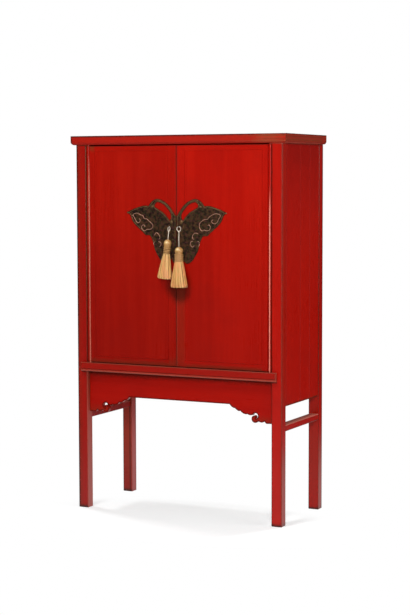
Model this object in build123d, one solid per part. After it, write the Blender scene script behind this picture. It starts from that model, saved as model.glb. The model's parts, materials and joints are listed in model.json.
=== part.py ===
from build123d import *
import os
from math import cos, radians, sin

# Red-lacquered wedding cabinet: four square posts under an overhanging framed top, two tall
# leaves turning on wooden pivot poles, a waist moulding over a carved apron, side stretchers
# between the legs, and a two-part butterfly plate with a pair of tassels.
#
# Millimetres. X runs to the right, Y from the front to the back, Z up. The floor is Z = 0 and
# X = 0 is the line where the two leaves meet. Depths below are counted from the front faces of
# the posts, positive towards the back, and front() turns them into Y.

# ---------------------------------------------------------------- driving sizes: carcass
TOTAL_HEIGHT = 1850.0
CASE_WIDTH = 1108.0  # over the outer faces of the posts
CASE_DEPTH = 500.0  # over the front and back faces of the posts
POST_WIDTH = 53.5  # along X
POST_DEPTH = 47.0  # along Y
POST_ROUND = 3.0
FOOT_CHAMFER = 2.0

TOP_THICKNESS = 44.0
TOP_SIDE_OVERHANG = 24.5
TOP_FRONT_OVERHANG = 12.0
TOP_BACK_SETBACK = 18.0  # the top stops short of the back faces of the posts
TOP_MEMBER_WIDTH = 60.0
TOP_OVOLO_WIDTH = 11.0
TOP_OVOLO_HEIGHT = 20.0
TOP_PANEL_THICKNESS = 14.0
TOP_BATTEN_WIDTH = 45.0
TOP_BATTEN_THICKNESS = 16.0
TOP_BATTEN_SPACING = 480.0

SILL_TOP = 733.5  # height of the rail that the leaves stand over
SILL_HEIGHT = 43.5
MOULDING_OVERLAP = 28.0  # how far the waist moulding runs over each post
MOULDING_PROUD = 18.0
MOULDING_ROUND = 5.0
MOULDING_BEAD = 6.0

APRON_EDGE = 567.5  # height of the straight lower edge of the apron
APRON_RECESS = 20.0
APRON_THICKNESS = 18.0

SIDE_PANEL_EDGE = 569.0
SIDE_PANEL_RECESS = 5.0
SIDE_PANEL_THICKNESS = 14.0
BACK_PANEL_EDGE = 569.0
BACK_PANEL_RECESS = 22.0
BACK_PANEL_THICKNESS = 12.0
PANEL_TONGUE = 8.0
BOARD_JOINT = 1.6  # width and depth of the V between two boards of a panel
SIDE_BOARD_LINES = (62.0, 230.0, 345.0)  # depths of the joints between side boards
BACK_BOARD_COUNT = 5

STRETCHER_TOP = 481.0
STRETCHER_HEIGHT = 30.5
STRETCHER_WIDTH = 44.0
STRETCHER_RECESS = 1.5
STRETCHER_ROUND = 3.0

FLOOR_DROP = 6.0  # the case floor lies this far below the sill's top
BOARD_THICKNESS = 18.0
SHELF_TOP = 1290.0
BEARER_WIDTH = 24.0
BEARER_HEIGHT = 30.0

# ---------------------------------------------------------------- driving sizes: leaves
LEAF_THICKNESS = 20.0
LEAF_RECESS = 2.0
LEAF_FOOT_GAP = 3.0
LEAF_HEAD_GAP = 6.0
SEAM_GAP = 2.0
POLE_RADIUS = 9.0
POLE_RECESS = 0.5
POLE_POST_GAP = 1.0
POLE_FOOT_GAP = 0.3
POLE_HEAD_GAP = 1.0
PIN_RADIUS = 5.5
PIN_LENGTH = 20.0
PIN_PLAY = 0.05  # radial, pin in its socket
SOCKET_SPARE = 3.0  # socket depth beyond the pin
QUIRK = 2.5  # groove between a pole and the stile beside it
NECK_FRONT = 6.0  # the stile's neck starts this far behind its face
NECK_BACK = 2.0
NECK_REACH = 5.5  # how far the neck wraps behind the pole's flank
HINGE_STILE_WIDTH = 28.0
MEETING_STILE_WIDTH = 44.0
MEETING_BEAD = 8.0
BEAD_GROOVE = 1.5
LEAF_TOP_RAIL = 24.0
LEAF_BOTTOM_RAIL = 30.0
LEAF_PANEL_THICKNESS = 12.0
TONGUE_THICKNESS = 6.0
PANEL_PLAY = 0.2
PANEL_LINE = 0.8  # open line round a flush panel
LEAF_BATTEN_HEIGHT = 34.0
LEAF_BATTEN_COUNT = 3

# ---------------------------------------------------------------- driving sizes: metalwork
EYE_HEIGHT = 1415.0
EYE_OFFSET = 26.0  # each side of the seam
EYE_REACH = 23.0  # centre of the eye in front of the posts' faces
EYE_RADIUS = 6.5
EYE_WIRE = 1.75
SHANK_WIDTH = 3.4  # square: the two prongs lie against each other
WIRE_FACETS = 8
RING_FACETS = 24
SHANK_PLAY = 0.2
PRONG_LENGTH = 14.0
PRONG_WIDTH = 3.5
PRONG_THICKNESS = 1.6
PLATE_THICKNESS = 2.2
PLATE_SEAM_GAP = 3.0
NAIL_HEAD_WIDTH = 7.0
NAIL_CROWN_WIDTH = 3.0
NAIL_HEAD_HEIGHT = 1.8
NAIL_FACETS = 8
NAIL_SHANK_WIDTH = 1.8
NAIL_LENGTH = 9.0
NAIL_PLAY = 0.1

# Right half of the butterfly, as (distance from the seam, height above the eyes).
ANTENNA_OUTER = [(17, 68), (35, 92), (56, 111), (81, 124), (104, 129), (125, 122), (142, 107), (151, 94)]
WING_TOP = [(151, 94), (177, 96), (208, 88), (235, 79), (271, 61)]
WING_SIDE = [(271, 61), (250, 46), (243, 29), (230, 10), (212, -7), (188, -27), (171, -42)]
WING_NOTCH = [(171, -42), (160, -47), (150, -46), (140, -52)]
HIND_WING = [(140, -52), (128, -75), (122, -96), (116, -117), (105, -137), (91, -159), (77, -173), (60, -180)]
TAIL = [(60, -180), (46, -175), (35, -166), (26, -157)]
ABDOMEN = [(26, -157), (20, -170), (11, -181)]
WINDOW_OUTER = [(37, 26), (28, 38), (30, 57), (45, 80), (64, 99), (87, 111), (104, 113), (115, 104), (117, 91)]
WINDOW_INNER = [(117, 91), (97, 79), (77, 68), (56, 50), (37, 26)]
NECK_HEIGHT = 46.0  # where the antennae part at the seam
ABDOMEN_END = -186.0
NAIL_PLACES = [(242, 56), (165, 76), (196, 2), (110, -78), (72, -160), (14, -140), (13, 30)]

# ---------------------------------------------------------------- driving sizes: tassels
CORD_RADIUS = 1.5
LOOP_RADIUS = 10.5
LOOP_PLAY = 0.3
TASSEL_DEPTH = 20.0  # half depth of a tassel, front to back
TASSEL_FACETS = 20
SKIRT_SWELL = 1.0  # how far the skirt swells half way down
CONTACT_LINE = 0.0  # the skirts lie against each other over the seam
CONTACT_GAP = 1.5
# cord run, head radius and height, binding radius and height, skirt radii and length, lean
LEFT_TASSEL = dict(run=40.0, head=18.5, head_height=38.0, binding=18.5, binding_height=33.0,
                   neck=16.0, hem=39.0, skirt=119.5, lean=6.2)
RIGHT_TASSEL = dict(run=74.5, head=20.0, head_height=33.5, binding=23.5, binding_height=37.0,
                    neck=20.0, hem=46.5, skirt=125.0, lean=0.0)

# ---------------------------------------------------------------- derived places
HALF_WIDTH = CASE_WIDTH / 2
INNER_HALF = HALF_WIDTH - POST_WIDTH
UNDER_TOP = TOTAL_HEIGHT - TOP_THICKNESS
EYE_FRONT = EYE_REACH + EYE_RADIUS + EYE_WIRE
FRONT_Y = -(CASE_DEPTH - EYE_FRONT) / 2  # the whole object is centred on Y = 0
REAR_POST = CASE_DEPTH - POST_DEPTH
TOP_BACK = CASE_DEPTH - TOP_BACK_SETBACK
TOP_HALF = HALF_WIDTH + TOP_SIDE_OVERHANG
SILL_BOTTOM = SILL_TOP - SILL_HEIGHT
SIDE_PANEL_OUTER = HALF_WIDTH - SIDE_PANEL_RECESS
SIDE_PANEL_INNER = SIDE_PANEL_OUTER - SIDE_PANEL_THICKNESS
BACK_PANEL_BACK = CASE_DEPTH - BACK_PANEL_RECESS
BACK_PANEL_FRONT = BACK_PANEL_BACK - BACK_PANEL_THICKNESS
FLOOR_TOP = SILL_TOP - FLOOR_DROP
LEAF_BACK = LEAF_RECESS + LEAF_THICKNESS
LEAF_BOTTOM = SILL_TOP + LEAF_FOOT_GAP
LEAF_TOP = UNDER_TOP - LEAF_HEAD_GAP
POLE_X = INNER_HALF - POLE_POST_GAP - POLE_RADIUS
POLE_DEPTH = POLE_RECESS + POLE_RADIUS
STILE_OUTER = POLE_X - POLE_RADIUS - QUIRK
STILE_INNER = STILE_OUTER - HINGE_STILE_WIDTH
MEETING_OUTER = SEAM_GAP / 2
MEETING_INNER = MEETING_OUTER + MEETING_STILE_WIDTH
PLATE_FRONT = LEAF_RECESS - PLATE_THICKNESS
LOOP_DROP = EYE_RADIUS - EYE_WIRE - CORD_RADIUS - LOOP_PLAY + LOOP_RADIUS  # eye to loop centre

nodes = {}


def front(depth):
    """Y of a place that lies this far behind the front faces of the posts."""
    return FRONT_Y + depth


def block(x0, x1, depth0, depth1, z0, z1):
    """A rectangular solid between two corners, given by X, depth and height."""
    size = Box(abs(x1 - x0), abs(depth1 - depth0), abs(z1 - z0))
    return Pos((x0 + x1) / 2, front((depth0 + depth1) / 2), (z0 + z1) / 2) * size


def upright(x, depth, z0, z1, radius):
    """A vertical cylinder between two heights."""
    return Pos(x, front(depth), (z0 + z1) / 2) * Cylinder(radius, z1 - z0)


def groove(x, depth, z0, z1, angle):
    """A vertical V cutter whose edge points into the wood; angle turns it about Z."""
    cutter = Box(BOARD_JOINT, BOARD_JOINT, z1 - z0)
    return Pos(x, front(depth), (z0 + z1) / 2) * Rot(0, 0, angle) * cutter


def faceted(rings, closed=False):
    """Solid with flat facets through rings of corners; closed joins the last ring to the first."""
    faces = [] if closed else [Face(Wire.make_polygon(ring)) for ring in (rings[0], rings[-1])]
    pairs = zip(rings, rings[1:] + rings[:1]) if closed else zip(rings, rings[1:])
    for upper, lower in pairs:
        for index in range(len(upper)):
            faces.append(Face(Wire.make_polygon([upper[index - 1], upper[index], lower[index - 1]])))
            faces.append(Face(Wire.make_polygon([upper[index], lower[index], lower[index - 1]])))
    return Solid(Shell(faces))


def turns(count):
    """Angles of a whole turn in equal steps."""
    return [radians(360 * index / count) for index in range(count)]


def wire_ring(radius, wire):
    """A ring round the Z axis, bent from faceted wire."""
    return faceted([[
        Vector((radius + wire * cos(a)) * cos(turn), (radius + wire * cos(a)) * sin(turn), wire * sin(a))
        for a in turns(WIRE_FACETS)] for turn in turns(RING_FACETS)], closed=True)


def side_pair(name, right_solid):
    """Store a right-hand piece and its mirror image on the left."""
    nodes["right_" + name] = right_solid
    nodes["left_" + name] = mirror(right_solid, about=Plane.YZ)


# ---------------------------------------------------------------- posts and legs
def post(depth0):
    """A post that is also a leg: softened corners and a chamfered foot."""
    solid = block(INNER_HALF, HALF_WIDTH, depth0, depth0 + POST_DEPTH, 0, UNDER_TOP)
    solid = fillet(solid.edges().filter_by(Axis.Z), POST_ROUND)
    return chamfer(solid.faces().sort_by(Axis.Z)[0].edges(), FOOT_CHAMFER)


side_panel_room = block(
    SIDE_PANEL_INNER - PANEL_PLAY / 2, SIDE_PANEL_OUTER + PANEL_PLAY / 2,
    POST_DEPTH - PANEL_TONGUE, REAR_POST + PANEL_TONGUE, SIDE_PANEL_EDGE, UNDER_TOP)
back_panel_room = block(
    -INNER_HALF - PANEL_TONGUE, INNER_HALF + PANEL_TONGUE,
    BACK_PANEL_FRONT - PANEL_PLAY / 2, BACK_PANEL_BACK + PANEL_PLAY / 2, BACK_PANEL_EDGE, UNDER_TOP)
side_pair("front_post", post(0) - side_panel_room)
side_pair("rear_post", post(REAR_POST) - side_panel_room - back_panel_room)


# ---------------------------------------------------------------- top: mitred frame and panel
def ovolo(outer, inward):
    """Lower rounded edge of the top, from its upright face in to its underside."""
    start = (outer, UNDER_TOP + TOP_OVOLO_HEIGHT)
    middle = (outer + inward * TOP_OVOLO_WIDTH * (1 - cos(radians(45))),
              UNDER_TOP + TOP_OVOLO_HEIGHT * (1 - sin(radians(45))))
    end = (outer + inward * TOP_OVOLO_WIDTH, UNDER_TOP)
    return ThreePointArc(start, middle, end)


def top_slab():
    """The whole top with its rounded lower edge at the front and the two sides."""
    front_edge, back_edge = front(-TOP_FRONT_OVERHANG), front(TOP_BACK)
    along = Plane.YZ * make_face(Curve() + [
        ovolo(front_edge, 1),
        Polyline((front_edge + TOP_OVOLO_WIDTH, UNDER_TOP), (back_edge, UNDER_TOP), (back_edge, TOTAL_HEIGHT),
                 (front_edge, TOTAL_HEIGHT), (front_edge, UNDER_TOP + TOP_OVOLO_HEIGHT))])
    across = Plane.XZ * make_face(Curve() + [
        ovolo(TOP_HALF, -1),
        Line((TOP_HALF - TOP_OVOLO_WIDTH, UNDER_TOP), (-TOP_HALF + TOP_OVOLO_WIDTH, UNDER_TOP)),
        ovolo(-TOP_HALF, 1),
        Polyline((-TOP_HALF, UNDER_TOP + TOP_OVOLO_HEIGHT), (-TOP_HALF, TOTAL_HEIGHT),
                 (TOP_HALF, TOTAL_HEIGHT), (TOP_HALF, UNDER_TOP + TOP_OVOLO_HEIGHT))])
    return extrude(along, TOP_HALF, both=True) & extrude(across, CASE_DEPTH, both=True)


TOP_INNER_HALF = TOP_HALF - TOP_MEMBER_WIDTH
TOP_INNER_FRONT = TOP_MEMBER_WIDTH - TOP_FRONT_OVERHANG
TOP_INNER_BACK = TOP_BACK - TOP_MEMBER_WIDTH
PANEL_UNDER = TOTAL_HEIGHT - TOP_PANEL_THICKNESS

slab = top_slab()
mitre = Polyline(
    (-TOP_HALF, front(-TOP_FRONT_OVERHANG)), (TOP_HALF, front(-TOP_FRONT_OVERHANG)),
    (TOP_INNER_HALF, front(TOP_INNER_FRONT)), (-TOP_INNER_HALF, front(TOP_INNER_FRONT)), close=True)
front_region = Pos(0, 0, UNDER_TOP) * extrude(make_face(mitre), TOP_THICKNESS)
panel_groove = block(
    -TOP_INNER_HALF - PANEL_TONGUE, TOP_INNER_HALF + PANEL_TONGUE,
    TOP_INNER_FRONT - PANEL_TONGUE, TOP_INNER_BACK + PANEL_TONGUE,
    PANEL_UNDER, PANEL_UNDER + TONGUE_THICKNESS + PANEL_PLAY)
sockets = [upright(side * POLE_X, POLE_DEPTH, UNDER_TOP - 1, UNDER_TOP + PIN_LENGTH + SOCKET_SPARE,
                   PIN_RADIUS + PIN_PLAY) for side in (-1, 1)]

nodes["top_front_rail"] = (slab & front_region) - panel_groove - sockets
nodes["top_rear_rail"] = (slab & block(
    -TOP_HALF, TOP_HALF, TOP_INNER_BACK, TOP_BACK, UNDER_TOP, TOTAL_HEIGHT)) - panel_groove
side_pair("top_side_rail", (slab & block(
    TOP_INNER_HALF, TOP_HALF, -TOP_FRONT_OVERHANG, TOP_INNER_BACK, UNDER_TOP, TOTAL_HEIGHT))
    - front_region - panel_groove)
nodes["top_panel"] = block(
    -TOP_INNER_HALF + PANEL_LINE, TOP_INNER_HALF - PANEL_LINE,
    TOP_INNER_FRONT + PANEL_LINE, TOP_INNER_BACK - PANEL_LINE, PANEL_UNDER, TOTAL_HEIGHT
) + block(
    -TOP_INNER_HALF - PANEL_TONGUE + PANEL_PLAY, TOP_INNER_HALF + PANEL_TONGUE - PANEL_PLAY,
    TOP_INNER_FRONT - PANEL_TONGUE + PANEL_PLAY, TOP_INNER_BACK + PANEL_TONGUE - PANEL_PLAY,
    PANEL_UNDER, PANEL_UNDER + TONGUE_THICKNESS)
nodes["top_battens"] = Compound(children=[
    block(x - TOP_BATTEN_WIDTH / 2, x + TOP_BATTEN_WIDTH / 2, TOP_INNER_FRONT, TOP_INNER_BACK,
          PANEL_UNDER - TOP_BATTEN_THICKNESS, PANEL_UNDER)
    for x in (-TOP_BATTEN_SPACING / 2, TOP_BATTEN_SPACING / 2)])

# ---------------------------------------------------------------- panels of the case
side_panel = block(
    SIDE_PANEL_INNER, SIDE_PANEL_OUTER, POST_DEPTH - PANEL_TONGUE + PANEL_PLAY,
    REAR_POST + PANEL_TONGUE - PANEL_PLAY, SIDE_PANEL_EDGE, UNDER_TOP)
for line in SIDE_BOARD_LINES:
    side_panel -= groove(SIDE_PANEL_OUTER, line, SIDE_PANEL_EDGE, UNDER_TOP, 45)
side_pair("side_panel", side_panel)

back_panel = block(
    -INNER_HALF - PANEL_TONGUE + PANEL_PLAY, INNER_HALF + PANEL_TONGUE - PANEL_PLAY,
    BACK_PANEL_FRONT, BACK_PANEL_BACK, BACK_PANEL_EDGE, UNDER_TOP)
for index in range(1, BACK_BOARD_COUNT):
    joint_x = INNER_HALF * (2 * index / BACK_BOARD_COUNT - 1)
    back_panel -= groove(joint_x, BACK_PANEL_BACK, BACK_PANEL_EDGE, UNDER_TOP, 45)
nodes["back_panel"] = back_panel


# ---------------------------------------------------------------- floor, shelf and their bearers
def deck(front_depth, top):
    """A board that fills the case from front_depth to the back panel, notched round the posts."""
    z0 = top - BOARD_THICKNESS
    between_posts = block(-INNER_HALF + PANEL_PLAY, INNER_HALF - PANEL_PLAY, front_depth,
                          BACK_PANEL_FRONT - PANEL_PLAY, z0, top)
    between_panels = block(-SIDE_PANEL_INNER + PANEL_PLAY, SIDE_PANEL_INNER - PANEL_PLAY,
                           POST_DEPTH + PANEL_PLAY, REAR_POST - PANEL_PLAY, z0, top)
    return between_posts + between_panels


def side_bearer(top):
    """A rail on the inside of a side panel, from post to post."""
    return block(SIDE_PANEL_INNER - BEARER_WIDTH, SIDE_PANEL_INNER, POST_DEPTH, REAR_POST,
                 top - BEARER_HEIGHT, top)


def back_bearer(top):
    """A rail on the inside of the back panel, from post to post."""
    return block(-INNER_HALF, INNER_HALF, BACK_PANEL_FRONT - BEARER_WIDTH, BACK_PANEL_FRONT,
                 top - BEARER_HEIGHT, top)


nodes["case_floor"] = deck(POST_DEPTH + PANEL_PLAY, FLOOR_TOP)
nodes["shelf"] = deck(LEAF_BACK + PRONG_THICKNESS + SEAM_GAP, SHELF_TOP)
for name, top in (("floor", FLOOR_TOP), ("shelf", SHELF_TOP)):
    side_pair(name + "_side_bearer", side_bearer(top - BOARD_THICKNESS))
    nodes[name + "_back_bearer"] = back_bearer(top - BOARD_THICKNESS)

# ---------------------------------------------------------------- sill, moulding and apron
sill = block(-INNER_HALF, INNER_HALF, 0, POST_DEPTH, SILL_BOTTOM, SILL_TOP)
for side in (-1, 1):
    sill -= upright(side * POLE_X, POLE_DEPTH, SILL_TOP - PIN_LENGTH - SOCKET_SPARE, SILL_TOP + 1,
                    PIN_RADIUS + PIN_PLAY)
nodes["front_sill"] = sill

MOULDING_HALF = INNER_HALF + MOULDING_OVERLAP
moulding = block(-MOULDING_HALF, MOULDING_HALF, -MOULDING_PROUD, 0, SILL_BOTTOM, SILL_TOP)
moulding_face = moulding.faces().sort_by(Axis.Y)[0]
moulding = fillet(moulding_face.edges(), MOULDING_ROUND)
moulding_groove_z = SILL_BOTTOM + MOULDING_ROUND + MOULDING_BEAD
moulding -= Pos(0, front(-MOULDING_PROUD), moulding_groove_z) * Rot(45, 0, 0) * Box(
    2 * MOULDING_HALF + 1, BOARD_JOINT, BOARD_JOINT)
nodes["waist_moulding"] = moulding

# Right bracket of the apron, as (distance in from the post, height below the apron's edge).
BRACKET_REACH = 227.0
BRACKET_FOOT = 81.5
STEPS = [  # start, middle and end of each bulge, from the straight edge to the hook
    [(BRACKET_REACH, 0), (215.5, 12), (203, 17.5)],
    [(200, 17), (188, 26), (178, 31)],
    [(171, 28), (156, 40), (138, 43.5)],
    [(133, 41.5), (121, 46.5), (107, 44)]]
HOOK_CENTRE = (93.5, 63)
HOOK_RADIUS = 18.5
CURL_CENTRE = (92, 48)
CURL_RADIUS = 13.5
TIP_CENTRE = (97, 54.5)
TIP_RADIUS = 8.2
SCALLOP_ONE = [(76, 72), (60, 78), (44, 71)]
SCALLOP_TWO = [(44, 71), (38, 80), (24, BRACKET_FOOT)]


def on_apron(place):
    """Point of the right bracket in the plane of the apron's face."""
    return (INNER_HALF - place[0], APRON_EDGE - place[1])


def bracket_face():
    """Outline of the right bracket: four bulges, a curled hook and two scallops."""
    bulges = STEPS + [SCALLOP_ONE, SCALLOP_TWO]
    arcs = [ThreePointArc(*[on_apron(place) for place in bulge]) for bulge in bulges]
    joins = [Line(on_apron(bulge[2]), on_apron(following[0])) for bulge, following in zip(bulges, bulges[1:])
             if bulge[2] != following[0]]
    closing = Polyline(on_apron(SCALLOP_TWO[2]), on_apron((0, BRACKET_FOOT)), on_apron((0, 0)),
                       on_apron((BRACKET_REACH, 0)))
    outline = Curve() + arcs + joins + [closing]
    disc = [Pos(*on_apron(centre)) * Circle(radius) for centre, radius in (
        (HOOK_CENTRE, HOOK_RADIUS), (CURL_CENTRE, CURL_RADIUS), (TIP_CENTRE, TIP_RADIUS))]
    return make_face(outline) + disc[0] - disc[1] + disc[2]


def apron_board():
    """The apron: a straight board whose two ends drop into carved brackets."""
    right = bracket_face()
    face = right + mirror(right, about=Plane.YZ) + Pos(0, (APRON_EDGE + SILL_BOTTOM) / 2) * Rectangle(
        2 * INNER_HALF, SILL_BOTTOM - APRON_EDGE)
    back_plane = Plane.XZ.offset(-front(APRON_RECESS + APRON_THICKNESS))
    return extrude(back_plane * face, APRON_THICKNESS)


nodes["front_apron"] = apron_board()

# ---------------------------------------------------------------- side stretchers
stretcher = block(HALF_WIDTH - STRETCHER_RECESS - STRETCHER_WIDTH, HALF_WIDTH - STRETCHER_RECESS,
                  POST_DEPTH, REAR_POST, STRETCHER_TOP - STRETCHER_HEIGHT, STRETCHER_TOP)
side_pair("side_stretcher", fillet(stretcher.edges().filter_by(Axis.Y), STRETCHER_ROUND))


# ---------------------------------------------------------------- leaves
def pivot_pole():
    """Round pole of a leaf, with a pin at each end that turns in a socket."""
    foot, head = SILL_TOP + POLE_FOOT_GAP, UNDER_TOP - POLE_HEAD_GAP
    pins = upright(POLE_X, POLE_DEPTH, foot - PIN_LENGTH, head + PIN_LENGTH, PIN_RADIUS)
    return upright(POLE_X, POLE_DEPTH, foot, head, POLE_RADIUS) + pins


RAIL_TOP_EDGE = LEAF_TOP - LEAF_TOP_RAIL
RAIL_BOTTOM_EDGE = LEAF_BOTTOM + LEAF_BOTTOM_RAIL
TONGUE_BACK = LEAF_RECESS + LEAF_PANEL_THICKNESS
leaf_groove = block(
    MEETING_INNER - PANEL_TONGUE, STILE_INNER + PANEL_TONGUE,
    TONGUE_BACK - TONGUE_THICKNESS - PANEL_PLAY / 2, TONGUE_BACK + PANEL_PLAY / 2,
    RAIL_BOTTOM_EDGE - PANEL_TONGUE, RAIL_TOP_EDGE + PANEL_TONGUE)


def leaf_member(x0, x1, z0, z1):
    """A stile or rail of a leaf, grooved for the panel."""
    return block(x0, x1, LEAF_RECESS, LEAF_BACK, z0, z1) - leaf_groove


def hinge_stile():
    """Stile coped round the back flank of its pole, leaving a quirk at the front."""
    board = leaf_member(STILE_INNER, STILE_OUTER, LEAF_BOTTOM, LEAF_TOP)
    neck = block(STILE_OUTER, STILE_OUTER + QUIRK + NECK_REACH, LEAF_RECESS + NECK_FRONT,
                 LEAF_BACK - NECK_BACK, LEAF_BOTTOM, LEAF_TOP)
    return board + (neck - upright(POLE_X, POLE_DEPTH, LEAF_BOTTOM, LEAF_TOP, POLE_RADIUS))


def meeting_stile():
    """Stile at the seam, with a bead run along its edge and a hole for the eye's shank."""
    stile = leaf_member(MEETING_OUTER, MEETING_INNER, LEAF_BOTTOM, LEAF_TOP)
    bead_line = Box(BEAD_GROOVE, BEAD_GROOVE, LEAF_TOP - LEAF_BOTTOM)
    stile -= Pos(MEETING_OUTER + MEETING_BEAD, front(LEAF_RECESS), (LEAF_TOP + LEAF_BOTTOM) / 2) * Rot(
        0, 0, 45) * bead_line
    return stile - eye_shank(SHANK_WIDTH + 2 * SHANK_PLAY, LEAF_RECESS - 1, LEAF_BACK + 1)


def leaf_panel():
    """Flush panel with a tongue all round its back."""
    field = block(MEETING_INNER + PANEL_LINE, STILE_INNER - PANEL_LINE, LEAF_RECESS, TONGUE_BACK,
                  RAIL_BOTTOM_EDGE + PANEL_LINE, RAIL_TOP_EDGE - PANEL_LINE)
    reach = PANEL_TONGUE - PANEL_PLAY
    tongue = block(MEETING_INNER - reach, STILE_INNER + reach, TONGUE_BACK - TONGUE_THICKNESS,
                   TONGUE_BACK, RAIL_BOTTOM_EDGE - reach, RAIL_TOP_EDGE + reach)
    return field + tongue


def leaf_battens():
    """Cross battens on the back of the panel, tight between the stiles."""
    step = (RAIL_TOP_EDGE - RAIL_BOTTOM_EDGE) / (LEAF_BATTEN_COUNT + 1)
    heights = [RAIL_BOTTOM_EDGE + step * (index + 1) for index in range(LEAF_BATTEN_COUNT)]
    return Compound(children=[
        block(MEETING_INNER, STILE_INNER, TONGUE_BACK, LEAF_BACK,
              z - LEAF_BATTEN_HEIGHT / 2, z + LEAF_BATTEN_HEIGHT / 2) for z in heights])


def eye_shank(width, start, end):
    """Square shank of the eye, or its hole, between two depths."""
    return block(EYE_OFFSET - width / 2, EYE_OFFSET + width / 2, start, end,
                 EYE_HEIGHT - width / 2, EYE_HEIGHT + width / 2)


def nail_shank(x, z, width, start, end):
    """Square shank at a nail's place, between two depths."""
    return block(x - width / 2, x + width / 2, start, end, EYE_HEIGHT + z - width / 2, EYE_HEIGHT + z + width / 2)


def nail_cutter():
    """Holes for the plate's nails, through the plate and into the wood."""
    return [nail_shank(x, z, NAIL_SHANK_WIDTH + 2 * NAIL_PLAY, PLATE_FRONT - 1, PLATE_FRONT + NAIL_LENGTH)
            for x, z in NAIL_PLACES]


side_pair("pivot_pole", pivot_pole())
side_pair("hinge_stile", hinge_stile())
side_pair("meeting_stile", meeting_stile() - nail_cutter())
side_pair("leaf_top_rail", leaf_member(MEETING_INNER, STILE_INNER, RAIL_TOP_EDGE, LEAF_TOP))
side_pair("leaf_bottom_rail", leaf_member(MEETING_INNER, STILE_INNER, LEAF_BOTTOM, RAIL_BOTTOM_EDGE))
side_pair("leaf_panel", leaf_panel() - nail_cutter())
side_pair("leaf_battens", leaf_battens())


# ---------------------------------------------------------------- butterfly plate
def plate_face():
    """Right half of the butterfly: antenna, fore wing, hind wing and half of the body."""
    seam = PLATE_SEAM_GAP / 2
    neck, end = (seam, NECK_HEIGHT), (seam, ABDOMEN_END)
    outer = Curve() + [
        Spline([neck] + ANTENNA_OUTER), Spline(WING_TOP), Spline(WING_SIDE), Spline(WING_NOTCH),
        Spline(HIND_WING), Spline(TAIL), Spline(ABDOMEN + [end]), Line(end, neck)]
    window = Curve() + [Spline(WINDOW_OUTER), Spline(WINDOW_INNER)]
    return make_face(outer) - make_face(window)


def butterfly_plate():
    """Thin plate, cut to the outline and drilled for its nails and the eye."""
    back = Plane.XZ.offset(-front(LEAF_RECESS))
    plate = Pos(0, 0, EYE_HEIGHT) * extrude(back * plate_face(), PLATE_THICKNESS)
    plate -= eye_shank(SHANK_WIDTH + 2 * SHANK_PLAY, PLATE_FRONT - 1, LEAF_RECESS + 1)
    return plate - nail_cutter()


def nail_facet(width, height):
    """Many-sided outline of a forged head, across the nail."""
    return Pos(0, 0, height) * RegularPolygon(width / 2, NAIL_FACETS)


def plate_nails():
    """Forged nails with faceted heads that hold one half of the plate."""
    head = loft([nail_facet(NAIL_HEAD_WIDTH, 0), nail_facet(NAIL_CROWN_WIDTH, NAIL_HEAD_HEIGHT)], ruled=True)
    return Compound(children=[
        Pos(x, front(PLATE_FRONT), EYE_HEIGHT + z) * Rot(90, 0, 0) * head
        + nail_shank(x, z, NAIL_SHANK_WIDTH, PLATE_FRONT, PLATE_FRONT + NAIL_LENGTH) for x, z in NAIL_PLACES])


def eye_staple():
    """Ring eye on a shank that goes through plate and stile and is clinched behind."""
    ring = Pos(EYE_OFFSET, front(-EYE_REACH), EYE_HEIGHT) * Rot(0, 90, 0) * wire_ring(
        EYE_RADIUS, EYE_WIRE)
    shank = eye_shank(SHANK_WIDTH, EYE_RADIUS - EYE_REACH, LEAF_BACK + PRONG_THICKNESS)
    prongs = block(EYE_OFFSET - PRONG_WIDTH / 2, EYE_OFFSET + PRONG_WIDTH / 2, LEAF_BACK,
                   LEAF_BACK + PRONG_THICKNESS, EYE_HEIGHT - PRONG_LENGTH, EYE_HEIGHT + PRONG_LENGTH)
    return ring + shank + prongs


side_pair("butterfly_plate", butterfly_plate())
side_pair("plate_nails", plate_nails())
side_pair("eye_staple", eye_staple())


# ---------------------------------------------------------------- tassels
def oval(half_width, half_depth, height):
    """Corners of a horizontal oval at a height."""
    return [Vector(half_width * cos(turn), half_depth * sin(turn), height) for turn in turns(TASSEL_FACETS)]


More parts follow.
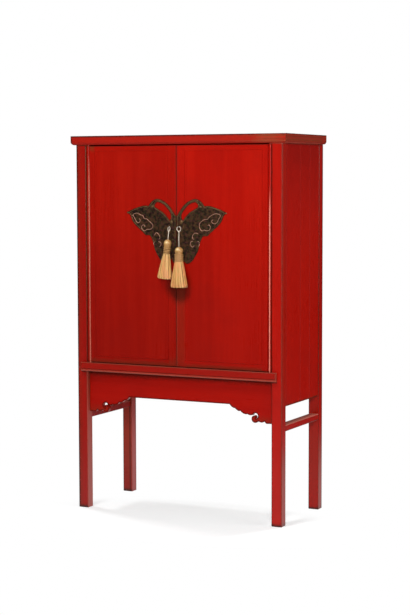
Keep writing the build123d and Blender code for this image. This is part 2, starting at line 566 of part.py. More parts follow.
def tassel(side, side_name, sizes):
    """Loop, cord, padded head, bound neck and skirt, hanging from one eye."""
    loop_centre = -LOOP_DROP
    cord_top = loop_centre - LOOP_RADIUS - CORD_RADIUS
    head_top = cord_top - sizes["run"]
    head_middle = head_top - sizes["head_height"] / 2
    binding_top = head_top - sizes["head_height"]
    skirt_top = binding_top - sizes["binding_height"]
    hem = skirt_top - sizes["skirt"]
    depth = TASSEL_DEPTH
    head_depth, binding_depth = min(sizes["head"], depth), min(sizes["binding"], depth)

    loop = Pos(0, 0, loop_centre) * Rot(90, 0, 0) * wire_ring(LOOP_RADIUS, CORD_RADIUS)
    cord = Pos(0, 0, (cord_top + head_top) / 2) * Cylinder(CORD_RADIUS, sizes["run"])
    head = faceted([
        oval(sizes["head"] * share, head_depth * share, head_middle + sizes["head_height"] / 2 * rise)
        for share, rise in ((0.4, 1.0), (0.8, 0.7), (1.0, 0.1), (0.94, -0.5), (0.8, -1.0))])
    binding = faceted([
        oval(sizes["binding"] * share, binding_depth * share, skirt_top + sizes["binding_height"] * rise)
        for share, rise in ((0.84, 1.0), (1.0, 0.8), (1.0, 0.2), (0.88, 0.0))])
    middle_width = (sizes["neck"] + sizes["hem"]) / 2 + SKIRT_SWELL
    skirt = faceted([
        oval(sizes["neck"], binding_depth * 0.85, skirt_top),
        oval(middle_width, (binding_depth + depth) / 2, (skirt_top + hem) / 2),
        oval(sizes["hem"], depth, hem)])
    hang = Pos(side * EYE_OFFSET, front(-EYE_REACH), EYE_HEIGHT) * Rot(0, sizes["lean"], 0)
    keep_from = CONTACT_LINE + side * CONTACT_GAP / 2
    beyond = block(keep_from - side * CASE_WIDTH, keep_from, -CASE_DEPTH, CASE_DEPTH, 0, TOTAL_HEIGHT)
    pieces = (("loop", loop), ("cord", cord), ("head", head), ("binding", binding), ("skirt", skirt))
    for name, solid in pieces:
        nodes[side_name + "_tassel_" + name] = hang * solid
    nodes[side_name + "_tassel_skirt"] = (hang * skirt) - beyond


tassel(-1, "left", LEFT_TASSEL)
tassel(1, "right", RIGHT_TASSEL)

print("radius of the cord loops", LOOP_RADIUS, "cord diameter", 2 * CORD_RADIUS)

# ---------------------------------------------------------------- one STEP file for each node
os.makedirs("parts", exist_ok=True)
for name, solid in nodes.items():
    export_step(solid, "parts/" + name + ".step")
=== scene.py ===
"""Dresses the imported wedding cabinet: old red lacquer, a bronze butterfly plate, cords and tassels.

Everything is in metres in the part's own frame: X to the right along the front, Y to the back, Z up.
"""
import json
import logging
import math
from dataclasses import dataclass
from enum import Enum
from typing import Any, Dict, List, Optional, Sequence, Tuple, Union

import bmesh
import bpy
import numpy as np
from mathutils import Matrix, Vector


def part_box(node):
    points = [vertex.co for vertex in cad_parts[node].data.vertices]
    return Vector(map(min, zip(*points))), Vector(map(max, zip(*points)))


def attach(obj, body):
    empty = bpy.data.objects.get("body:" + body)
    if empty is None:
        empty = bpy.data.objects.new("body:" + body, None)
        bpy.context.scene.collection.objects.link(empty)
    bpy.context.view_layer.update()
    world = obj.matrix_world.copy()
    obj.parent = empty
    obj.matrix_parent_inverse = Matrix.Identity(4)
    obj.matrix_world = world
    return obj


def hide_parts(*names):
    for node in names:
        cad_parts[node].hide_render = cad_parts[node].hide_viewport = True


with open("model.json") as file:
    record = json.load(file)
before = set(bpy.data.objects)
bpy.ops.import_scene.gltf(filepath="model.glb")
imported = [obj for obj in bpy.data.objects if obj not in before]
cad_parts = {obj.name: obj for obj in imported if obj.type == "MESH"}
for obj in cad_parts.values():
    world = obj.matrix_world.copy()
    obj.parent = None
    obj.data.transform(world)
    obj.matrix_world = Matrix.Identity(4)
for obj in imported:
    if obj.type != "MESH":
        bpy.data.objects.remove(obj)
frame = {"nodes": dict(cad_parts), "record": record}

LOG = logging.getLogger("wedding_cabinet")
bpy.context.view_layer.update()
NODES = frame["nodes"]

Colour = Tuple[float, float, float]
Point = Tuple[float, float, float]
Flat = Tuple[float, float]
FRONT_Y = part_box("left_front_post")[0].y  # front faces of the posts
SILL_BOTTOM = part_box("front_sill")[0].z
LEAF_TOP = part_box("left_pivot_pole")[1].z
PLATE_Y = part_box("left_butterfly_plate")[0].y  # front face of the butterfly
WHITE: Colour = (1.0, 1.0, 1.0)
EVEN: Point = (1.0, 1.0, 1.0)  # the scale that changes nothing


class Grain(Enum):
    """Which way a board's grain runs, as the scale of its pattern along each axis."""

    ALONG_X = (0.04, 1.0, 1.0)
    ALONG_Y = (1.0, 0.04, 1.0)
    ALONG_Z = (1.0, 1.0, 0.04)


class Side(Enum):
    """Left or right leaf, with the sign of its X."""

    LEFT = -1
    RIGHT = 1

    @property
    def word(self) -> str:
        """The side's name as the nodes write it."""
        return self.name.lower()

    def node(self, name: str) -> str:
        """A node's name on this side."""
        return f"{self.word}_{name}"


# --------------------------------------------------------------------------- shader expressions
class Value:
    """One output socket of a node tree, with Python's operators as Math nodes."""

    def __init__(self, shader: "Shader", socket: bpy.types.NodeSocket) -> None:
        """Wrap an output socket of the tree that the shader builds."""
        self.shader = shader
        self.socket = socket

    def math(self, operation: str, *others: "Operand") -> "Value":
        """A Math node on this value and, as its next inputs, the others."""
        inputs = dict(enumerate((self, *others)))
        return self.shader.node("ShaderNodeMath", {"operation": operation}, inputs)

    def __add__(self, other: "Operand") -> "Value":
        """Sum."""
        return self.math("ADD", other)

    __radd__ = __add__

    def __mul__(self, other: "Operand") -> "Value":
        """Product."""
        return self.math("MULTIPLY", other)

    __rmul__ = __mul__

    def __sub__(self, other: "Operand") -> "Value":
        """Difference."""
        return self.math("SUBTRACT", other)

    def __rsub__(self, other: "Operand") -> "Value":
        """Difference from a number."""
        return (self * -1.0) + other

    def __truediv__(self, other: "Operand") -> "Value":
        """Quotient."""
        return self.math("DIVIDE", other)

    def __pow__(self, other: "Operand") -> "Value":
        """Power."""
        return self.math("POWER", other)

    def __abs__(self) -> "Value":
        """Absolute value."""
        return self.math("ABSOLUTE")

    def least(self, other: "Operand") -> "Value":
        """The smaller of two values."""
        return self.math("MINIMUM", other)

    def most(self, other: "Operand") -> "Value":
        """The larger of two values."""
        return self.math("MAXIMUM", other)

    def sine(self) -> "Value":
        """Sine of a value in radians."""
        return self.math("SINE")

    def swing(self, amount: float) -> "Value":
        """A value from 0 to 1 as a swing to either side of nothing, of half the amount each way."""
        return (self - 0.5) * amount

    def rise(self, low: float, high: float) -> "Value":
        """A smooth step from 0 at low to 1 at high; low above high makes it fall.

        Args:
            low: the value where the step is 0.
            high: the value where the step is 1.

        Returns:
            The step, from 0 to 1.
        """
        down = low > high
        ends = {1: min(low, high), 2: max(low, high), 3: float(down), 4: float(not down)}
        return self.shader.node("ShaderNodeMapRange", {"interpolation_type": "SMOOTHSTEP"}, {0: self, **ends})


Operand = Union[Value, float, int]


@dataclass(frozen=True)
class Pattern:
    """Fractal noise: its scale in patches to a metre, its finer layers and how strong they are."""

    scale: float
    detail: float
    rough: float


class Shader:
    """Builds the node tree of one material, or of the world."""

    def __init__(self, owner: Union[str, bpy.types.World]) -> None:
        """Start with no nodes.

        Args:
            owner: the name of a new material, or the world.
        """
        self.owner = bpy.data.materials.new(owner) if isinstance(owner, str) else owner
        self.owner.use_nodes = True
        self.tree = self.owner.node_tree
        self.tree.nodes.clear()

    def add(self, kind: str, settings: Dict[str, Any], inputs: Dict[Any, Any]) -> bpy.types.Node:
        """Add a node; every node is made here.

        Args:
            kind: the node's type.
            settings: its properties, set first.
            inputs: socket name or number to a number, vector, colour or Value.

        Returns:
            The node.
        """
        made = self.tree.nodes.new(kind)
        for key, setting in settings.items():
            setattr(made, key, setting)
        for key, given in inputs.items():
            if isinstance(given, Value):
                self.tree.links.new(given.socket, made.inputs[key])
            elif isinstance(given, tuple) and made.inputs[key].type == "RGBA":
                made.inputs[key].default_value = (*given, 1.0)
            else:
                made.inputs[key].default_value = given
        return made

    def node(self, kind: str, settings: Dict[str, Any], inputs: Dict[Any, Any], output: Any = 0) -> Value:
        """Add a node and take the output with a name or number."""
        return Value(self, self.add(kind, settings, inputs).outputs[output])

    def place(self) -> Value:
        """Object coordinates, in metres."""
        return self.node("ShaderNodeTexCoord", {}, {}, "Object")

    def attribute(self, name: str) -> Value:
        """A number that the mesh holds at each point."""
        return self.node("ShaderNodeAttribute", {"attribute_name": name}, {}, "Fac")

    def ray(self, kind: str) -> Value:
        """1 on the Light Path's rays of one kind and 0 on all others."""
        return self.node("ShaderNodeLightPath", {}, {}, kind)

    def parts(self, vector: Value) -> List[Value]:
        """The three numbers of a vector."""
        split = self.add("ShaderNodeSeparateXYZ", {}, {0: vector})
        return [Value(self, socket) for socket in split.outputs]

    def scaled(self, vector: Value, scale: Point, shift: Point = (0.0, 0.0, 0.0)) -> Value:
        """A vector times a scale for each axis, plus a shift."""
        return self.node("ShaderNodeMapping", {"vector_type": "POINT"}, {0: vector, 1: shift, 3: scale})

    def noise(self, vector: Value, pattern: Pattern) -> Value:
        """Fractal noise from 0 to 1."""
        sizes = {"Scale": pattern.scale, "Detail": pattern.detail, "Roughness": pattern.rough}
        return self.node("ShaderNodeTexNoise", {}, {"Vector": vector, **sizes}, "Fac")

    def blend(self, factor: Operand, first: Any, second: Any, mode: str = "MIX") -> Value:
        """Two colours mixed by one of the Mix node's modes; the factor is the second one's share."""
        settings = {"data_type": "RGBA", "blend_type": mode, "clamp_factor": True}
        return self.node("ShaderNodeMix", settings, {0: factor, 6: first, 7: second}, 2)

    def tint(self, colour: Any, amount: Operand) -> Value:
        """A colour made lighter or darker by a varying amount."""
        grey = self.node("ShaderNodeCombineColor", {}, {0: amount, 1: amount, 2: amount})
        return self.blend(1.0, colour, grey, "MULTIPLY")

    def bump(self, height: Value, distance: float, strength: float = 1.0) -> Value:
        """A normal from a height from 0 to 1."""
        inputs = {"Strength": strength, "Distance": distance, "Height": height}
        return self.node("ShaderNodeBump", {}, inputs)

    def principled(self, inputs: Dict[str, Any]) -> bpy.types.Material:
        """Finish the material with a Principled shader, whose inputs are given by name."""
        return self.close(self.node("ShaderNodeBsdfPrincipled", {}, inputs))

    def layered(self, share: Operand, under: Value, over: Value) -> Value:
        """One shader over another, with the upper one's share."""
        return self.node("ShaderNodeMixShader", {}, {0: share, 1: under, 2: over})

    def close(self, surface: Value) -> Union[bpy.types.Material, bpy.types.World]:
        """Link a finished shader to the output, and return its material or world."""
        self.add("ShaderNodeOutput" + self.owner.bl_rna.identifier, {}, {"Surface": surface})
        return self.owner

    def arris(self, low: Sequence[float], high: Sequence[float]) -> Value:
        """Distance to the nearest edge of a box, on its surface.

        The distance to the nearer of two opposite faces is half the box's width less the distance
        from its middle. On the surface one of the three is nothing, so the middle one of the
        three in order of size is the distance to the nearest edge.

        Args:
            low: the box's lowest corner.
            high: the box's highest corner.

        Returns:
            The distance, in metres.
        """
        reach = []
        for number, start, end in zip(self.parts(self.place()), low, high):
            reach.append((end - start) / 2 - abs(number - (start + end) / 2))
        small, large = reach[0].least(reach[1]), reach[0].most(reach[1])
        return small.most(large.least(reach[2]))


# --------------------------------------------------------------------------- finishes
Box = Tuple[Sequence[float], Sequence[float]]  # lowest and highest corners


@dataclass(frozen=True)
class Shade:
    """Painted shade: a lacquer darkened slowly along one axis, standing in for light that falls off: 1 at
    `full`, `amount` at `faded`.
    """

    axis: int = 2
    full: float = LEAF_TOP
    faded: float = SILL_BOTTOM
    amount: float = 1.0

    def factor(self, shader: Shader) -> Value:
        """The factor on the colour."""
        number = shader.parts(shader.place())[self.axis]
        return number.rise(self.full, self.faded) * (self.amount - 1.0) + 1.0


@dataclass(frozen=True)
class Mark:
    """A band across one axis, strongest at `at` and gone `width` away; it paints wear and grime, and also
    shade, shadow, highlight and sheen.

    `within` limits it to a stretch of another axis: the axis, where it starts and where it is full.
    `matt` is what a full share adds to the roughness.
    """

    SWING = 1.8  # how far the noise moves the band's edge, in widths
    FULL = 0.15  # the band is at its strongest nearer than this, in widths

    axis: int
    at: float
    width: float
    colour: Colour
    share: float
    within: Optional[Tuple[int, float, float]] = None
    matt: float = 0.0

    def factor(self, numbers: Sequence[Value], ragged: Value) -> Value:
        """The band's share at each place, with a ragged edge.

        Args:
            numbers: the place's three numbers.
            ragged: noise from 0 to 1 that roughens the band's edge.

        Returns:
            The share of the band's colour.
        """
        away = abs(numbers[self.axis] - self.at) + ragged.swing(self.SWING * self.width)
        share = away.rise(self.width, self.FULL * self.width) * self.share
        if self.within is not None:
            axis, start, full = self.within
            share = share * numbers[axis].rise(start, full)
        return share


@dataclass(frozen=True)
class Patch:
    """A round patch of painted shadow on the front: strongest at its centre and gone at its reach."""

    SWING = 0.4  # how far the noise moves the patch's edge, in reaches
    FULL = 0.45  # the patch is at its strongest nearer than this, in reaches

    centre: Flat
    reach: Flat
    colour: Colour
    share: float
    matt: float = 0.0

    def factor(self, numbers: Sequence[Value], ragged: Value) -> Value:
        """The patch's share at each place.

        The distance from the centre is the root of the sum of the squares of X and Z, each as a
        share of the reach.

        Args:
            numbers: the place's three numbers.
            ragged: noise from 0 to 1 that roughens the patch's edge.

        Returns:
            The share of the patch's colour.
        """
        across = (numbers[0] - self.centre[0]) / self.reach[0]
        tall = (numbers[2] - self.centre[1]) / self.reach[1]
        away = (across * across + tall * tall) ** 0.5 + ragged.swing(self.SWING)
        return away.rise(1.0, self.FULL) * self.share


Marks = Sequence[Union[Mark, Patch]]


@dataclass(frozen=True)
class Lacquer:
    """Old red lacquer on wood: brushed streaks, fine grain, arrises rubbed dark and then pale."""

    STREAKS = Pattern(26.0, 4.0, 0.6)
    GRAIN = Pattern(240.0, 3.0, 0.7)
    CLOUDS = Pattern(3.2, 4.0, 0.55)
    SPECKS = Pattern(70.0, 3.0, 0.7)
    STREAK_RANGE = (0.35, 0.70)
    CLOUD_RANGE = (0.50, 0.75)
    CLOUD_SHARE = 0.35
    GRAIN_TINT = 0.26
    PALE_SWING = 1.6
    CLOUD_MATT = 0.16
    GRAIN_MATT = 0.10
    RELIEF = (0.0006, 0.5)  # depth in metres, and strength

    deep: Colour = (0.25, 0.0026, 0.0007)
    body: Colour = (0.395, 0.0042, 0.0007)
    bright: Colour = (0.44, 0.0062, 0.0014)
    rubbed: Colour = (0.045, 0.008, 0.004)
    pale: Colour = (0.34, 0.10, 0.055)
    dark_width: float = 0.006
    pale_width: float = 0.0022
    dark_share: float = 0.7
    pale_share: float = 0.25
    roughness: float = 0.30
    specular: float = 0.26
    # painted shade along an axis, standing in for light that falls off
    shades: Tuple[Shade, ...] = ()

    def material(self, name: str, board: Box, worn: Box, grain: Grain,
                 marks: Marks = ()) -> bpy.types.Material:
        """Lacquer for one board.

        Args:
            name: the material's name.
            board: the board's lowest and highest corners.
            worn: the corners of the box whose edges are rubbed.
            grain: which way its grain runs.
            marks: bands and patches of wear and grime, and of painted shade, shadow, highlight and sheen.

        Returns:
            The material.
        """
        shader = Shader(name)
        place = shader.place()
        along = shader.scaled(place, grain.value, board[0])
        streak = shader.noise(along, self.STREAKS)
        fine = shader.noise(along, self.GRAIN)
        cloud = shader.noise(place, self.CLOUDS)
        speck = shader.noise(place, self.SPECKS)
        colour = shader.blend(streak.rise(*self.STREAK_RANGE), self.body, self.bright)
        colour = shader.blend(cloud.rise(*self.CLOUD_RANGE) * self.CLOUD_SHARE, colour, self.deep)
        amount = fine.swing(self.GRAIN_TINT) + 1.0
        for shade in self.shades:
            amount = amount * shade.factor(shader)
        colour = shader.tint(colour, amount)
        edge = shader.arris(*worn)
        ragged = edge + speck.swing(self.dark_width) + streak.swing(self.dark_width)
        dark = ragged.rise(self.dark_width, 0.0) * self.dark_share
        chipped = edge + speck.swing(self.pale_width * self.PALE_SWING)
        colour = shader.blend(dark, colour, self.rubbed)
        colour = shader.blend(chipped.rise(self.pale_width, 0.0) * self.pale_share, colour, self.pale)
        rough = cloud.swing(self.CLOUD_MATT) + fine.swing(self.GRAIN_MATT) + self.roughness
        numbers = shader.parts(place)
        for mark in marks:
            share = mark.factor(numbers, streak * 0.5 + speck * 0.5)
            colour = shader.blend(share, colour, mark.colour)
            if mark.matt:
                rough = rough + share * mark.matt
        return shader.principled({
            "Base Color": colour, "Roughness": rough, "Specular IOR Level": self.specular,
            "Normal": shader.bump(fine * 0.5 + streak * 0.5, *self.RELIEF)})


@dataclass(frozen=True)
class BareWood:
    """Plain brown inner wood that was never lacquered."""

    RINGS = Pattern(48.0, 5.0, 0.65)
    FIBRE = Pattern(300.0, 3.0, 0.7)
    RING_RANGE = (0.30, 0.70)
    FIBRE_TINT = 0.5
    FIBRE_MATT = 0.1
    EDGE_WIDTH = 0.004
    EDGE_SHARE = 0.5
    RELIEF = (0.0006, 0.5)  # depth in metres, and strength

    light: Colour = (0.23, 0.120, 0.056)
    dark: Colour = (0.125, 0.060, 0.027)
    roughness: float = 0.67

    def material(self, name: str, board: Box, worn: Box, grain: Grain,
                 marks: Marks = ()) -> bpy.types.Material:
        """Wood for one board.

        Args:
            name: the material's name.
            board: the board's lowest and highest corners.
            worn: the corners of the box whose edges are darker.
            grain: which way its grain runs.
            marks: not used, because bare wood has none.

        Returns:
            The material.
        """
        shader = Shader(name)
        along = shader.scaled(shader.place(), grain.value, board[0])
        ring = shader.noise(along, self.RINGS)
        fine = shader.noise(along, self.FIBRE)
        colour = shader.blend(ring.rise(*self.RING_RANGE), self.dark, self.light)
        colour = shader.tint(colour, fine.swing(self.FIBRE_TINT) + 1.0)
        edge = shader.arris(*worn).rise(self.EDGE_WIDTH, 0.0) * self.EDGE_SHARE
        colour = shader.blend(edge, colour, self.dark)
        return shader.principled({
            "Base Color": colour, "Roughness": fine.swing(self.FIBRE_MATT) + self.roughness,
            "Normal": shader.bump(fine, *self.RELIEF)})


@dataclass(frozen=True)
class Bronze:
    """Dark bronze with mottled brown, green and purple patina; raised lines are rubbed coppery.

    The copper comes in from the height `rubbed_from` to the height `rubbed_to`.
    """

    PATCHES = Pattern(55.0, 4.0, 0.65)
    SPOTS = Pattern(85.0, 4.0, 0.65)
    PITS = Pattern(420.0, 3.0, 0.7)
    BROWN_RANGE = (0.42, 0.58)
    GREEN_RANGE = (0.53, 0.60)
    PURPLE_RANGE = (0.45, 0.38)
    SPOT_SHARE = 0.85
    SPOT_SHIFT = (3.0, 1.0, 2.0)
    PIT_TINT = 0.8
    PIT_MATT = 0.2
    METAL = 0.75
    COPPER_SHARES = (0.7, 0.5)  # gain on the brown patches' noise, and what is added to it
    RELIEF_SHARES = (0.4, 0.6)  # of the pits and of the patches
    RELIEF = (0.0008, 0.7)  # depth in metres, and strength

    base: Colour = (0.030, 0.0155, 0.010)
    brown: Colour = (0.140, 0.063, 0.027)
    green: Colour = (0.074, 0.068, 0.028)
    purple: Colour = (0.130, 0.042, 0.046)
    copper: Colour = (0.30, 0.135, 0.075)
    rubbed_from: float = 10.0
    rubbed_to: float = 11.0
    roughness: float = 0.5

    def material(self, name: str) -> bpy.types.Material:
        """The bronze, coppery above the rubbed range.

        Args:
            name: the material's name.

        Returns:
            The material.
        """
        shader = Shader(name)
        place = shader.place()
        patches = shader.noise(place, self.PATCHES)
        spots = shader.noise(shader.scaled(place, EVEN, self.SPOT_SHIFT), self.SPOTS)
        pits = shader.noise(place, self.PITS)
        colour = shader.blend(patches.rise(*self.BROWN_RANGE), self.base, self.brown)
        colour = shader.blend(spots.rise(*self.GREEN_RANGE) * self.SPOT_SHARE, colour, self.green)
        colour = shader.blend(spots.rise(*self.PURPLE_RANGE) * self.SPOT_SHARE, colour, self.purple)
        height = shader.parts(place)[2]
        gain, least = self.COPPER_SHARES
        rubbed = height.rise(self.rubbed_from, self.rubbed_to) * (patches * gain + least)
        colour = shader.blend(rubbed, colour, self.copper)
        colour = shader.tint(colour, pits.swing(self.PIT_TINT) + 1.0)
        rough = pits.swing(self.PIT_MATT) + self.roughness
        of_pits, of_patches = self.RELIEF_SHARES
        return shader.principled({
            "Base Color": colour, "Metallic": self.METAL, "Roughness": rough,
            "Normal": shader.bump(pits * of_pits + patches * of_patches, *self.RELIEF)})


@dataclass(frozen=True)
class Silk:
    """Golden silk thread: its colour runs from dark to pale with the mesh's own shade."""

    THREADS = Pattern(900.0, 2.0, 0.6)
    BLUSHES = Pattern(60.0, 2.0, 0.5)
    THREAD_SCALE = (1.0, 1.0, 0.12)
    BLUSH_SCALE = (1.0, 1.0, 0.35)
    THREAD_TINT = 0.35
    THREAD_MATT = 0.12
    GOLD_RANGE = (0.0, 0.5)
    PALE_RANGE = (0.45, 1.0)
    BLUSH_RANGE = (0.46, 0.60)
    BLUSH_SHARE = 0.55
    SHEEN_ROUGHNESS = 0.4
    RELIEF = 0.0004

    dark: Colour = (0.20, 0.085, 0.030)
    gold: Colour = (0.62, 0.31, 0.085)
    pale: Colour = (0.84, 0.54, 0.21)
    pink: Colour = (0.76, 0.30, 0.125)
    roughness: float = 0.42
    specular: float = 0.35
    relief: float = 0.5
    sheen: float = 0.05

    def material(self, name: str) -> bpy.types.Material:
        """The silk.

        Args:
            name: the material's name.

        Returns:
            The material.
        """
        shader = Shader(name)
        shade = shader.attribute("shade")
        place = shader.place()
        fine = shader.noise(shader.scaled(place, self.THREAD_SCALE), self.THREADS)
        blush = shader.noise(shader.scaled(place, self.BLUSH_SCALE), self.BLUSHES)
        mixed = shade + fine.swing(self.THREAD_TINT)
        colour = shader.blend(mixed.rise(*self.GOLD_RANGE), self.dark, self.gold)
        colour = shader.blend(mixed.rise(*self.PALE_RANGE), colour, self.pale)
        colour = shader.blend(blush.rise(*self.BLUSH_RANGE) * self.BLUSH_SHARE, colour, self.pink)
        return shader.principled({
            "Base Color": colour, "Roughness": fine * self.THREAD_MATT + self.roughness,
            "Specular IOR Level": self.specular,
            "Sheen Weight": self.sheen, "Sheen Roughness": self.SHEEN_ROUGHNESS,
            "Normal": shader.bump(fine, self.RELIEF, self.relief)})


@dataclass(frozen=True)
class CottonCord:
    """Off-white twisted cord; its lay is a slanting wave on the cord's own UV map."""

    FUZZ = Pattern(1400.0, 2.0, 0.6)
    STARTS = 2.0  # strands that the twist shows round the cord
    LAY_TINT = 0.75  # the lay's share in the colour; the fibres have the rest
    LAY_RELIEF = 0.8
    FUZZ_MATT = 0.1
    SHEEN = 0.2
    RELIEF = (0.0006, 0.8)  # depth in metres, and strength

    light: Colour = (0.96, 0.80, 0.65)
    dark: Colour = (0.80, 0.65, 0.50)
    turns: float = 60.0
    roughness: float = 0.75

    def material(self, name: str) -> bpy.types.Material:
        """The cord's cotton.

        Args:
            name: the material's name.

        Returns:
            The material.
        """
        shader = Shader(name)
        along, around, _ = shader.parts(shader.node("ShaderNodeTexCoord", {}, {}, "UV"))
        lay = ((along * self.turns + around * self.STARTS) * math.tau).sine() * 0.5 + 0.5
        fibre = shader.noise(shader.place(), self.FUZZ)
        tone = lay * self.LAY_TINT + fibre * (1.0 - self.LAY_TINT)
        height = lay * self.LAY_RELIEF + fibre * (1.0 - self.LAY_RELIEF)
        rough = fibre * self.FUZZ_MATT + self.roughness
        return shader.principled({
            "Base Color": shader.blend(tone, self.dark, self.light), "Roughness": rough,
            "Sheen Weight": self.SHEEN, "Normal": shader.bump(height, *self.RELIEF)})


# --------------------------------------------------------------------------- surfaces
DOME_TOP = 0.47 * math.pi  # latitude of a dome's last ring, which a flat face closes
DOME_SUNK = 0.0005  # how far a dome's foot goes into the face
BEAD_TIP = 0.25  # width of an open bead at its very end, as a share of its full width
MERGE_DIGITS = 6  # corners of a node that agree to a micrometre are one
FRONT_SLACK = 2e-5  # how far behind a node's lowest Y its flat front may lie


def grid_quads(rows: int, columns: int, wrap_rows: bool, wrap_columns: bool) -> np.ndarray:
    """Corner numbers of a grid's quads.

    Each quad joins a point to the next one in its row and to the same two in the next row.

    Args:
        rows: number of rows of points.
        columns: number of points in a row.
        wrap_rows: whether the last row joins the first.
        wrap_columns: whether a row's last point joins its first.

    Returns:
        One line of four point numbers for each quad.
    """
    down = np.arange(rows if wrap_rows else rows - 1)
    across = np.arange(columns if wrap_columns else columns - 1)
    row, column = (part.ravel() for part in np.meshgrid(down, across, indexing="ij"))
    next_row, next_column = (row + 1) % rows, (column + 1) % columns
    quad = (row, column), (row, next_column), (next_row, next_column), (next_row, column)
    return np.stack([r * columns + c for r, c in quad], axis=1)


class Shell:
    """Collects closed surfaces into one mesh piece."""

    SHARP = math.radians(50.0)  # faces that meet at more than this are drawn with an edge

    def __init__(self) -> None:
        """Start empty."""
        self.points: List[np.ndarray] = []
        self.faces: List[Any] = []
        self.shades: List[np.ndarray] = []
        self.count = 0

    def add(self, points: np.ndarray, ring: bool = False, shade: Any = 0.5) -> "Shell":
        """Add a tube: rows of points, each row a closed ring.

        Args:
            points: rows by columns by 3.
            ring: whether the last row joins the first; otherwise both ends get a face.
            shade: the mesh's shade, a number or one for each point.

        Returns:
            This shell.
        """
        rows, columns, _ = points.shape
        faces = (grid_quads(rows, columns, ring, True) + self.count).tolist()
        if not ring:
            start = self.count + np.arange(columns)
            faces += [start[::-1].tolist(), (start + (rows - 1) * columns).tolist()]
        self.faces += faces
        self.points.append(points.reshape(-1, 3))
        self.shades.append(np.broadcast_to(shade, (rows, columns)).ravel())
        self.count += rows * columns
        return self

    def add_many(self, points: np.ndarray, shades: np.ndarray) -> "Shell":
        """Add many like tubes at once.

        Args:
            points: tubes by rows by 4 by 3.
            shades: one shade for each tube.

        Returns:
            This shell.
        """
        tubes, rows, columns, _ = points.shape
        one = grid_quads(rows, columns, False, True)
        ends = np.array([np.arange(columns)[::-1], np.arange(columns) + (rows - 1) * columns])
        one = np.concatenate([one, ends])
        first = self.count + np.arange(tubes) * rows * columns
        self.faces += (one[None] + first[:, None, None]).reshape(-1, columns).tolist()
        self.points.append(points.reshape(-1, 3))
        self.shades.append(np.repeat(shades, rows * columns))
        self.count += tubes * rows * columns
        return self

    def piece(self, name: str, material: bpy.types.Material, body: str, slot: str) -> bpy.types.Object:
        """Make the object, with its faces outwards, riding on a body.

        Args:
            name: the piece's name.
            material: its finish.
            body: the body that it rides on.
            slot: not used.

        Returns:
            The object.
        """
        mesh = bpy.data.meshes.new(name)
        mesh.from_pydata(np.concatenate(self.points).tolist(), [], self.faces)
        shade = mesh.attributes.new("shade", "FLOAT", "POINT")
        shade.data.foreach_set("value", np.concatenate(self.shades).astype(np.float32))
        work = bmesh.new()
        work.from_mesh(mesh)
        bmesh.ops.recalc_face_normals(work, faces=work.faces)
        work.to_mesh(mesh)
        work.free()
        mesh.polygons.foreach_set("use_smooth", np.ones(len(mesh.polygons), dtype=bool))
        mesh.set_sharp_from_angle(angle=self.SHARP)
        mesh.materials.append(material)
        made = bpy.data.objects.new(name, mesh)
        bpy.context.scene.collection.objects.link(made)
        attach(made, body)
        LOG.info("piece %s, %d points", name, self.count)
        return made


def smooth_path(points: Sequence[Flat], steps: int = 10) -> np.ndarray:
    """A smooth open curve through points of the X Z plane.

    Catmull-Rom: between two points the curve is the cubic whose slope at each is half the
    difference of its two neighbours; the ends repeat themselves as neighbours.

    Args:
        points: the points, in millimetres.
        steps: points of the curve for each stretch.

    Returns:
        The curve's points, in metres.
    """
    given = np.asarray(points, dtype=float) / 1000.0
    known = np.concatenate([given[:1], given, given[-1:]])
    before, start, end, after = known[:-3], known[1:-2], known[2:-1], known[3:]
    t = np.linspace(0.0, 1.0, steps, endpoint=False)[None, :, None]
    before, start, end, after = (part[:, None, :] for part in (before, start, end, after))
    cubic = 0.5 * (2 * start + (end - before) * t + (2 * before - 5 * start + 4 * end - after) * t ** 2
                   + (3 * start - before - 3 * end + after) * t ** 3)
    return np.concatenate([cubic.reshape(-1, 2), given[-1:]])


def even_path(path: np.ndarray, spacing: float, closed: bool) -> np.ndarray:
    """A path resampled at an even spacing along its length.

    Args:
        path: points of the X Z plane.
        spacing: the distance between the new points.
        closed: whether the last point joins the first.

    Returns:
        The new points.
    """
    line = np.concatenate([path, path[:1]]) if closed else path
    run = np.concatenate([[0.0], np.cumsum(np.linalg.norm(np.diff(line, axis=0), axis=1))])
    count = max(4, int(round(run[-1] / spacing)))
    places = np.linspace(0.0, run[-1], count, endpoint=not closed)
    return np.stack([np.interp(places, run, line[:, axis]) for axis in (0, 1)], axis=1)


def left_normals(path: np.ndarray, closed: bool) -> np.ndarray:
    """Unit normals to the left of a path.

    Each is the chord between the point's two neighbours, turned a quarter to the left.

    Args:
        path: points of the X Z plane.
        closed: whether the last point joins the first.

    Returns:
        One normal for each point.
    """
    if closed:
        chord = np.roll(path, -1, axis=0) - np.roll(path, 1, axis=0)
    else:
        chord = np.gradient(path, axis=0)
    chord /= np.linalg.norm(chord, axis=1, keepdims=True)
    return np.stack([-chord[:, 1], chord[:, 0]], axis=1)


